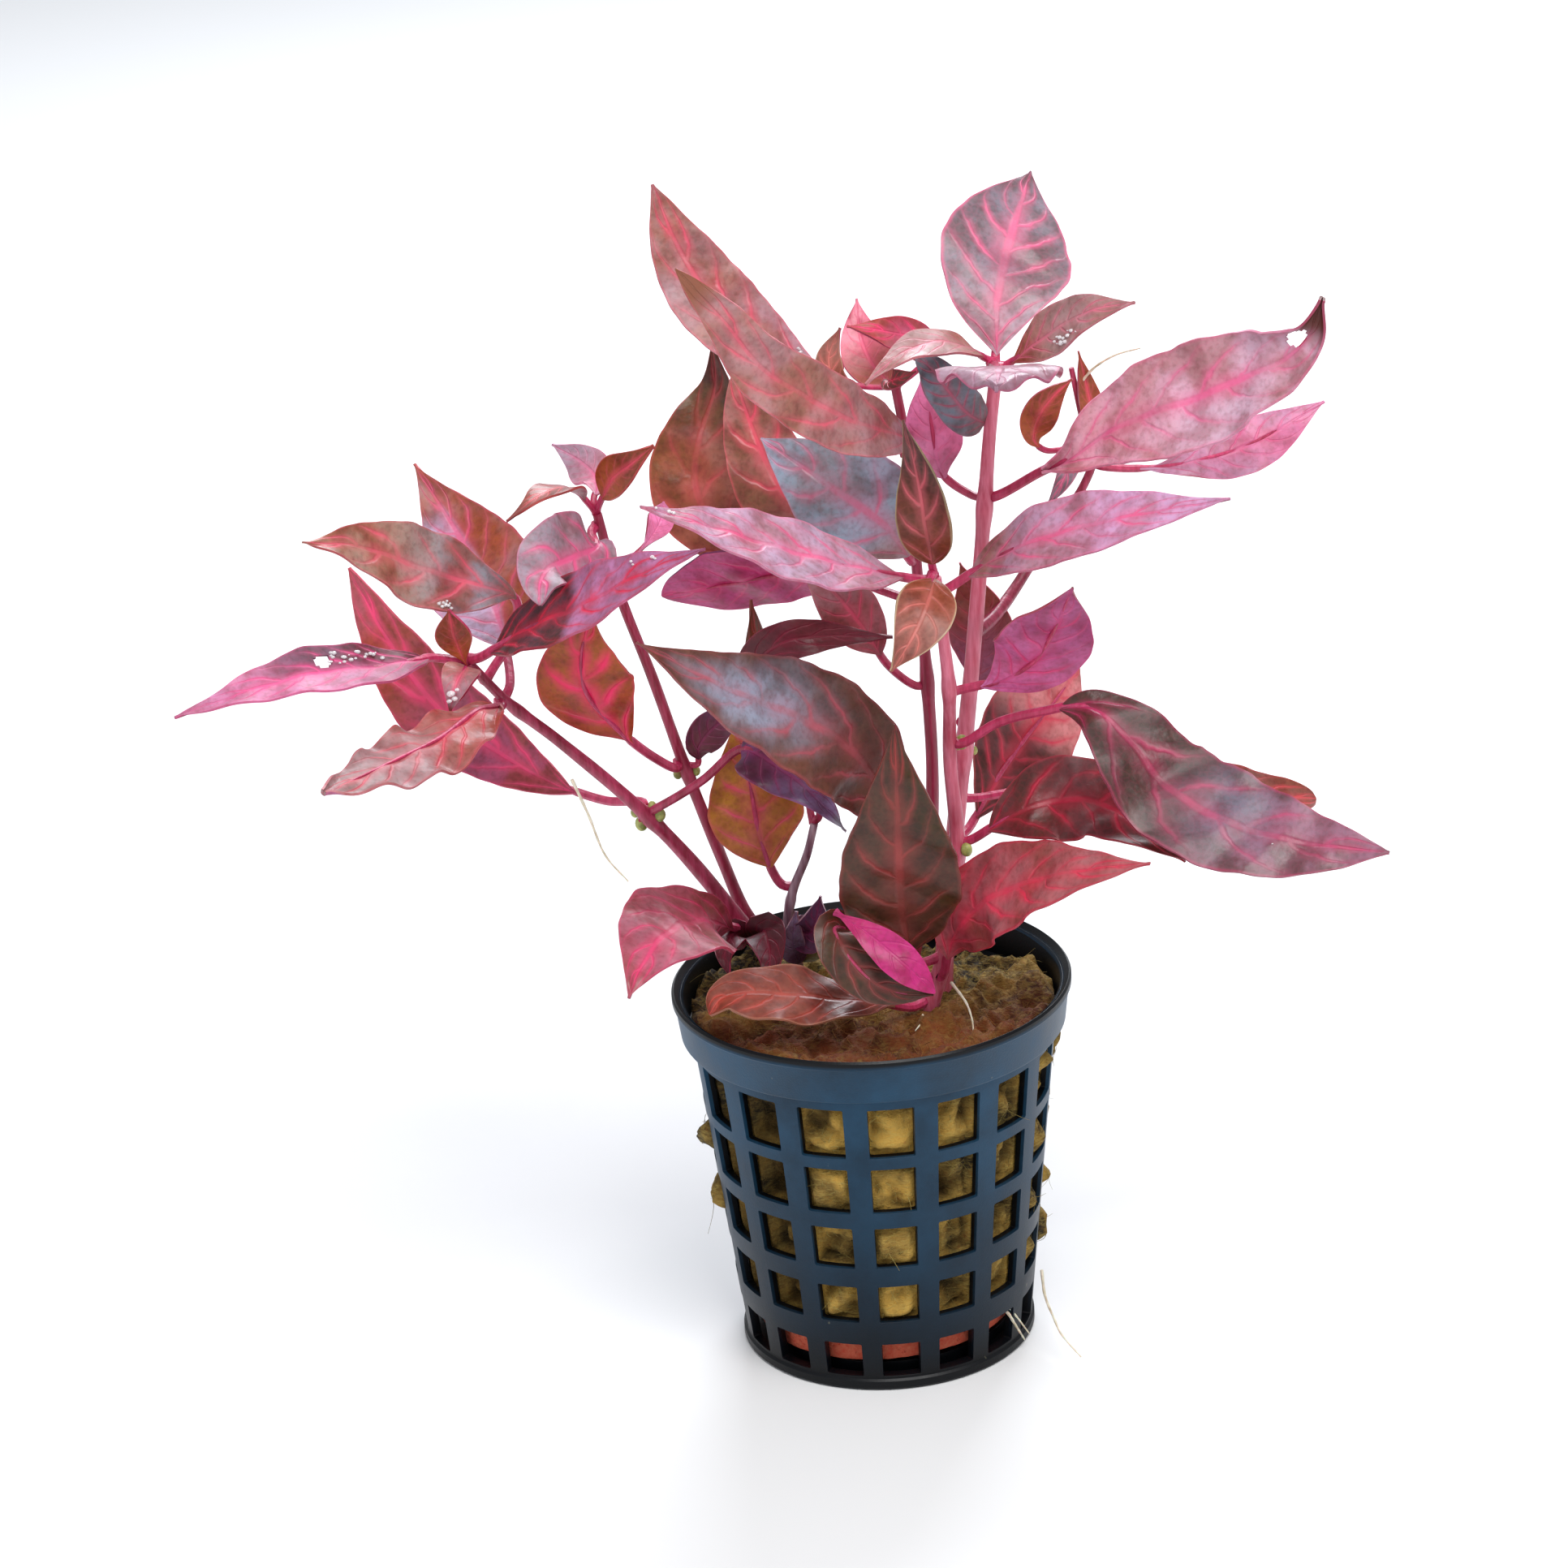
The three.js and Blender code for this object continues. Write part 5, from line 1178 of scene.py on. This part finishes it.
def full_turn(count):
    return [2 * math.pi * k / count for k in range(count + 1)]


# The angle of the front column of windows, the angle from one to the next, and each row's heights
FRONT = -math.pi / 2 + FRONT_TURN
PITCH = 2 * math.pi / COLUMNS
WINDOWS = [(top - LOWEST_WINDOW_HEIGHT - row * WINDOW_GROWTH, top)
           for row, top in enumerate(LOWEST_WINDOW_TOP + ROW_PITCH * k for k in range(ROWS))]


def net_pot():
    """The moulded pot: one skin turned from its outline, the windows and floor slots taken out of it, then
    thickened, with rounded window corners and softened edges."""
    across, between = 6, 3  # steps of the skin across a window, and between two
    steps = across + between
    angles = []
    for column in range(COLUMNS):
        start = FRONT + (column - WINDOW_SHARE / 2) * PITCH
        angles += [start + PITCH * WINDOW_SHARE * k / across for k in range(across)]
        angles += [start + PITCH * (WINDOW_SHARE + (1 - WINDOW_SHARE) * k / between) for k in range(between)]
    angles.append(angles[0] + 2 * math.pi)
    profile = [(0, 0), (5, 0), (8.2, 0), (11.5, 0), (15, 0), (FOOT_RADIUS - 0.35, 0), (FOOT_RADIUS, 0.35),
               (FOOT_RADIUS, FOOT_HEIGHT - 0.1), (wall_radius(1.6), 1.6)]
    slot_rows = range(1, 3)  # the floor's slots reach from 5 to 11.5 mm off the axis
    window_rows = set()
    for low, high in WINDOWS:
        heights = [low + (high - low) * k / 4 for k in range(5)]
        window_rows |= set(range(len(profile), len(profile) + 4))
        profile += [(wall_radius(z), z) for z in heights]
    profile += [(WALL_TOP_RADIUS, COLLAR_LOW - 0.3), (COLLAR_RADIUS - 0.2, COLLAR_LOW),
                (COLLAR_RADIUS, COLLAR_LOW + 0.3), (RIM_RADIUS - 0.35, POT_HEIGHT - 1.5),
                (RIM_RADIUS, POT_HEIGHT - 1.1), (RIM_RADIUS, POT_HEIGHT - 0.3),
                (RIM_RADIUS - 0.3, POT_HEIGHT)]
    bm = bmesh.new()
    made, column, row = lathe(bm, profile, angles)
    where = {v: (c, r) for v, c, r in zip(made, column, row)}
    cut = []
    for face in bm.faces:
        c = min(where[v][0] for v in face.verts)
        r = min(where[v][1] for v in face.verts)
        in_pair = c % (2 * steps)
        over_slot = in_pair < across + 2 or in_pair >= 2 * steps - 2
        if (r in window_rows and c % steps < across) or (r in slot_rows and over_slot):
            cut.append(face)
    bmesh.ops.delete(bm, geom=cut, context="FACES")
    for vert in bm.verts:  # the rim is a little out of round
        x, y, z = vert.co
        vert.co.x += 0.006 * x * math.sin(2 * math.atan2(y, x) + 0.6) * max(z / (POT_HEIGHT * MM), 0) ** 3
    bmesh.ops.remove_doubles(bm, verts=bm.verts[:], dist=1e-6)
    outside = set(bm.verts)
    bmesh.ops.recalc_face_normals(bm, faces=bm.faces[:])
    bmesh.ops.solidify(bm, geom=bm.faces[:], thickness=WALL * MM)
    corners = [e for e in bm.edges if sum(v in outside for v in e.verts) == 1
               and len(e.link_faces) == 2 and e.calc_face_angle() > math.radians(60)]
    bmesh.ops.bevel(bm, geom=corners, offset=0.75 * MM, segments=3, profile=0.5, affect="EDGES", material=-1,
                    clamp_overlap=True)
    ledge = [(LEDGE_INNER, WALL - 0.2), (LEDGE_RADIUS, WALL - 0.2), (LEDGE_RADIUS, LEDGE_TOP),
             (LEDGE_INNER, LEDGE_TOP), (LEDGE_INNER, WALL - 0.2)]
    ring, _, _ = lathe(bm, ledge, full_turn(72))
    bmesh.ops.remove_doubles(bm, verts=ring, dist=1e-6)
    piece = finished("pot_moulding", bm, [moulded_plastic()])
    soft = piece.modifiers.new("softened_edges", "BEVEL")
    soft.width, soft.segments = 0.16 * MM, 2
    soft.limit_method, soft.angle_limit = "ANGLE", math.radians(40)
    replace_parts(piece, "net_pot")


def clay_disc():
    """The clay disc: a flat turned slab with rounded rims and a slightly uneven face."""
    half = DISC_HEIGHT / 2
    profile = [(0, -half), (10, -half), (DISC_RADIUS - 0.7, -half), (DISC_RADIUS - 0.2, -half + 0.2),
               (DISC_RADIUS, -half + 0.7), (DISC_RADIUS, 0), (DISC_RADIUS, half - 0.7),
               (DISC_RADIUS - 0.2, half - 0.2), (DISC_RADIUS - 0.7, half), (10, half), (0, half)]
    bm = bmesh.new()
    lathe(bm, profile, full_turn(120))
    bmesh.ops.remove_doubles(bm, verts=bm.verts[:], dist=1e-6)
    bmesh.ops.subdivide_edges(bm, edges=bm.edges[:], cuts=1, use_grid_fill=True)
    lift = LEDGE_TOP + half + LEDGE_RADIUS * math.sin(DISC_TILT)
    for vert in bm.verts:
        vert.co += vert.co.normalized() * 0.12 * MM * noise.noise(vert.co * 700)
    seat = Matrix.Translation((0, 0, lift * MM)) @ Matrix.Rotation(-DISC_TILT, 4, "Y")
    bmesh.ops.transform(bm, matrix=seat, verts=bm.verts[:])
    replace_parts(finished("clay_base_disc", bm, [fired_clay()]), "clay_disc")


# The mineral wool

# How far the wool stands in each column of windows, in mm from the wall's outside, counted from the front
# column to the right and round
STAND = [-0.9, -2.1, -1.9, -1.0, 0.3, -0.6, -0.8, -1.0, -0.8, -0.6, -0.8, -0.7, -1.2, -4.2, -3.8, -1.3]
# The windows that a tuft of the wool sticks out of, and by how many mm
TUFT_COLUMN, TUFT_ROWS, TUFT_LENGTH = 12, (2, 3), 2.6
# The gap between wool and wall, and the step from one ring of the wool's side to the next, in mm
WOOL_GAP, WOOL_STEP = 0.1, 0.62


def window_share(angle, z):
    """How far inside a window a spot on the wall is, from 0 at its edge to 1, and which window it is."""
    turn = (angle - FRONT) / PITCH
    column = round(turn)

    def rounded(off):
        return math.sin(min(1, 1.7 * max(0, 1 - off)) * math.pi / 2)

    for row, (low, high) in enumerate(WINDOWS):
        if low < z < high:
            upright = abs(z - (low + high) / 2) / ((high - low) / 2)
            sideways = abs(turn - column) / (WINDOW_SHARE / 2)
            return rounded(sideways) * rounded(upright), column % COLUMNS, row
    return 0, 0, 0


def wool_height(x, y):
    """The height of the wool's top: lumpy, with a dip at the back right and a swelling at the right."""
    lumps = math.sin(x * 0.42 + 1) * math.cos(y * 0.37) + math.sin(x * 0.9 - y * 0.7) / 2
    dip = 2.6 * math.exp(-(((x - 14) ** 2 + (y - 16) ** 2) / 70))
    swell = 2.4 * math.exp(-(((x - 22) ** 2 + (y + 2) ** 2) / 12))
    return WOOL_TOP + 0.8 * lumps - dip + swell


def rim_gap(angle):
    """How far the wool stands in from the collar: close, but clear of it at the back."""
    right, left = math.exp(-(((angle - 1.1) / 0.5) ** 2)), math.exp(-(((angle - 2.5) / 0.4) ** 2))
    return 0.3 + 3.2 * right + 0.6 * left


def wool_block():
    """The wool: packed against the pot's wall, swelling into the windows, lumpy and torn on top. Gives
    where its vertices are in mm, and how far each one lies open, from 0 to 1."""

    def inner(z):
        collar = COLLAR_RADIUS + (RIM_RADIUS - COLLAR_RADIUS) * (z - COLLAR_LOW) / (POT_HEIGHT - COLLAR_LOW)
        return (wall_radius(z) if z < COLLAR_LOW - 0.4 else collar) - WALL - WOOL_GAP

    sides = [WOOL_LOW + WOOL_STEP * k for k in range(int((WOOL_TOP - 1.2 - WOOL_LOW) / WOOL_STEP))]
    edge = inner(sides[-1])
    crown = 38  # rings of the top
    profile = [(0, WOOL_LOW), (8, WOOL_LOW), (inner(WOOL_LOW) - 0.8, WOOL_LOW)]
    profile += [(inner(z), z) for z in sides]
    profile += [(edge * (1 - k / (crown - 1)), WOOL_TOP) for k in range(crown)]
    bm = bmesh.new()
    made, _, row = lathe(bm, profile, full_turn(240))
    places = coordinates(made) / MM
    shares = np.zeros(len(made))
    for k, (x, y, z) in enumerate(places):
        spot = Vector((x, y, z))
        rough = noise.fractal(spot * 0.55, 0.9, 2.1, 5)
        radius, angle = math.hypot(x, y), math.atan2(y, x)
        drawn_in = rim_gap(angle) * min(1, max(0, (z - 40) / 5))
        if row[k] >= len(profile) - crown:
            outward = radius / edge
            places[k][:2] *= 1 - drawn_in / edge * outward**3
            height = wool_height(x, y) + 1.2 * rough + 0.9 * noise.noise(spot * 0.3)
            places[k][2] = min(height, POT_HEIGHT + 0.6) - 1.0 * max(0, outward - 0.95) / 0.05
            shares[k] = 1 if outward < 0.97 else 0
            continue
        share, window, level = window_share(angle, z)
        if share > 0:
            lumps = 1.3 * noise.noise(Vector((window * 3.1, level * 2.7, 0)))
            lumps += 2.8 * noise.noise(spot * 0.33)
            tuft = TUFT_LENGTH if window == TUFT_COLUMN and level in TUFT_ROWS else 0
            reach = WALL + WOOL_GAP + STAND[window] + tuft * share + lumps + 0.6 * rough
            hollow = max(0, noise.noise(spot * 0.4 + Vector((9, 2, 5))) + 0.3) * max(0, 1 - share / 0.6)
            places[k][:2] *= (radius + reach * (0.8 * share if reach > 0 else 1) - 2.6 * hollow) / radius
            shares[k] = share
        elif radius > 1:
            places[k][:2] *= (radius - drawn_in - 0.2 + 0.15 * rough) / radius
    move(made, places)
    bmesh.ops.remove_doubles(bm, verts=bm.verts[:], dist=1e-6)
    skin = wet_wool("mineral_wool_mass", "#b89040", "#281e0e", "#6c300c")
    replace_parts(finished("wool_block", bm, [skin], sharp=180), "mineral_wool")
    return places, shares


def strands(bm, doublings, rings):
    """Adds 2 ** doublings thin three-sided strands at once; gives their vertices, which strand each belongs
    to, how far along it is, and its two ways off the middle."""
    apart = 4
    tips = bmesh.ops.create_cone(bm, cap_ends=True, segments=3, radius1=1, radius2=1, depth=2)["verts"]
    upright = {e for v in tips for e in v.link_edges if abs(e.verts[0].co.z - e.verts[1].co.z) > 1}
    bmesh.ops.subdivide_edges(bm, edges=list(upright), cuts=rings - 1)
    for doubling in range(doublings):
        copy = bmesh.ops.duplicate(bm, geom=bm.verts[:] + bm.edges[:] + bm.faces[:])["geom"]
        bmesh.ops.translate(bm, vec=(0, 0, apart * 2 ** doubling),
                            verts=[g for g in copy if isinstance(g, bmesh.types.BMVert)])
    x, y, z = coordinates(bm.verts).T
    strand = np.rint(z / apart).astype(int)
    return strand, (z - apart * strand + 1) / 2, x, y


def wool_fibres(places, shares):
    """Loose fibres that stand off the wool, thin and bent."""
    bm = bmesh.new()
    strand, share, x, y = strands(bm, 12, 4)
    count = strand.max() + 1
    dice = np.random.default_rng(7)
    showing = np.flatnonzero((shares > 0.3) & (np.hypot(*places.T[:2]) > 1))
    at = places[dice.choice(showing, count)]
    flat = unit(at * (1, 1, 0))
    out = np.where(at[:, 2:] > 45.5, (0.0, 0.0, 1.0), flat)
    way = dice.normal(size=(count, 3))
    way = unit(way - 0.95 * (way * out).sum(axis=1)[:, None] * out)
    bend = dice.normal(size=(count, 3)) * 0.4 - 0.3 * out
    long = dice.uniform(0.9, 2.4, (count, 1))
    thick = dice.uniform(0.03, 0.065, count)
    s = share[:, None]
    middle = (at - 0.15 * out)[strand] + long[strand] * (way[strand] * s + bend[strand] * s**2)
    along = unit(way[strand] + 2 * bend[strand] * s)
    side = unit(np.cross(along, out[strand]))
    size = (thick[strand] * (1 - 0.6 * share))[:, None]
    move(bm.verts, middle + size * (x[:, None] * side + y[:, None] * np.cross(along, side)))
    finished("wool_fibres", bm, [wet_wool("loose_wool_fibre", "#ac9a58", "#6c5c28", "#94581c")], sharp=180)


net_pot()
clay_disc()
wool_fibres(*wool_block())


# Roots, buds and water

ROOT_SKIN = living_tissue("young_root", "#e4dcc8", "#b4a88c", 1.5)


def root_piece(name, points, thick, node=None):
    """A limp root that thins to its tip and is a little uneven. node is the solid that it stands for."""
    bm = new_mesh()
    curve = spine(route(points))
    tube(bm, curve, lambda share: thick * (1 - 0.55 * share) * (1 + 0.12 * np.sin(share * 37)), STALK_SIDES,
         max(12, int(curve[2] * 2.5)))
    piece = finished(name, bm, [ROOT_SKIN])
    if node:
        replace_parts(piece, node)


def cluster(name, spots, material, squash=(1, 1, 1.25)):
    """Small, slightly uneven round bodies, each with its place and size in mm, as one piece."""
    bm = bmesh.new()
    for (x, y, z), size in spots:
        scale = Matrix.Diagonal((*[size * MM * k for k in squash], 1))
        seat = Matrix.Translation((x * MM, y * MM, z * MM)) @ scale
        made = bmesh.ops.create_icosphere(bm, subdivisions=3, radius=1, matrix=seat)["verts"]
        for vert in made:
            vert.co += vert.co.normalized() * 0.06 * size * MM * noise.noise(vert.co * 1500)
    finished(name, bm, [material])


def on_blade(node, x, t):
    """A spot on a leaf's upper side in mm, x across it and t along it."""
    leaf = LEAVES[node]
    return blade_points(leaf, *leaf_line(leaf), np.array([x]), np.array([t]))[0]


for node, points in ROOTS.items():
    root_piece(node.replace("root", "loose_root"), points, 0.22, node)
for k, (points, thick) in enumerate(FINE_ROOTS):
    root_piece(f"fine_root_{k + 1}", points, thick)
buds = []  # each stands out of its stem's skin
for node, share, turn, size in BUDS:
    point, side, up, _ = stations(STEM_LINES[node], STALK_FACE, np.array([share]))
    radius = np.mean(STEMS[node]["radii"]) * 1.25
    way = math.cos(math.radians(turn)) * up[0] + math.sin(math.radians(turn)) * side[0]
    buds.append((point[0] + way * (radius + 0.25 * size), size / 2))
cluster("side_buds", buds, living_tissue("green_bud", "#b8bc70", "#7c8440", 0.9))

# Beads of water on the leaves: the leaf, the middle across and along it, how far they spread, and how many
WET_SPOTS = [
    ("leaf_left_long", 0.5, 0.3, 0.22, 22), ("leaf_top_right", 0.55, 0.5, 0.22, 16),
    ("leaf_right_broad", 0.2, 0.7, 0.02, 1), ("leaf_left_upper", -0.8, 0.35, 0.1, 12),
    ("leaf_left_inner", -0.6, 0.75, 0.12, 5), ("leaf_centre_long", 0.5, 0.9, 0.14, 5),
    ("leaf_back_tall", 0.75, 0.32, 0.08, 4),
]
dice = random.Random(3)
beads = []
for node, x, t, spread, count in WET_SPOTS:
    for _ in range(count):
        side, share = x + dice.uniform(-spread, spread), t + dice.uniform(-spread, spread) / 2
        beads.append((on_blade(node, side, share), dice.uniform(0.12, 0.36)))
# And a few on the youngest leaves of the left shoot
on_youngest = route([(-51.4, 93.4, -6.3), (-51, 92.7, -6.4), (-51.7, 92.4, -6.5), (-50.6, 93.9, -6)])
beads += list(zip(on_youngest, (0.55, 0.4, 0.35, 0.3)))
cluster("water_beads", beads, clear_water(), squash=(1, 1, 0.7))


# Floor, light and camera

def plain_floor():
    """A pale matt floor, very slightly clouded."""
    bm = bmesh.new()
    bmesh.ops.create_grid(bm, x_segments=1, y_segments=1, size=4)
    mesh = bpy.data.meshes.new("floor")
    bm.to_mesh(mesh)
    bm.free()
    material, tree, shader, place = new_finish("pale_floor", Roughness=0.7, Specular_IOR_Level=0.2)
    cloud = add(tree, "TexNoise", {"Scale": 3.0}, {"Vector": place})
    pale = add(tree, "Mix", {**RGBA, 6: colour("#e0e0e0"), 7: colour("#e4e4e4")}, {0: cloud})
    link(tree, shader, {"Base Color": pale})
    mesh.materials.append(material)
    floor = bpy.data.objects.new("floor", mesh)
    bpy.context.scene.collection.objects.link(floor)


def soft_light(name, place, target, size, power, tint):
    """A square lamp, in metres and watts, turned to its target."""
    lamp = bpy.data.lights.new(name, "AREA")
    lamp.size, lamp.energy, lamp.color = size, power, tint
    made = bpy.data.objects.new(name, lamp)
    made.location = place
    made.rotation_euler = (Vector(target) - Vector(place)).to_track_quat("-Z", "Y").to_euler()
    bpy.context.scene.collection.objects.link(made)


plain_floor()
middle = (0, 0, 0.08)
soft_light("key_light", (0.16, -0.38, 0.78), middle, 0.45, 6.1, (1.0, 0.99, 0.98))
soft_light("fill_light", (-0.6, -0.5, 0.4), middle, 0.6, 0.9, (0.9, 0.95, 1.0))
soft_light("back_light", (0.1, 0.6, 0.55), middle, 0.4, 5.3, (0.9, 0.94, 1.0))
world = bpy.data.worlds.new("studio")
world.use_nodes = True
backdrop = world.node_tree.nodes["Background"]
backdrop.inputs["Color"].default_value = (0.92, 0.95, 1.0, 1)
backdrop.inputs["Strength"].default_value = 0.55
bpy.context.scene.world = world
bpy.context.scene.view_settings.view_transform = "Standard"

camera = bpy.data.objects.new("camera", bpy.data.cameras.new("camera"))
camera.data.sensor_width = 36
camera.data.lens = LENS
camera.data.clip_end = 20
camera.matrix_world = (Matrix.Translation(Vector(EYE * MM)) @ Matrix.Rotation(math.pi / 2 - EYE_DOWN, 4, "X")
                       @ Matrix.Rotation(EYE_ROLL, 4, "Z"))
bpy.context.scene.collection.objects.link(camera)
bpy.context.scene.camera = camera
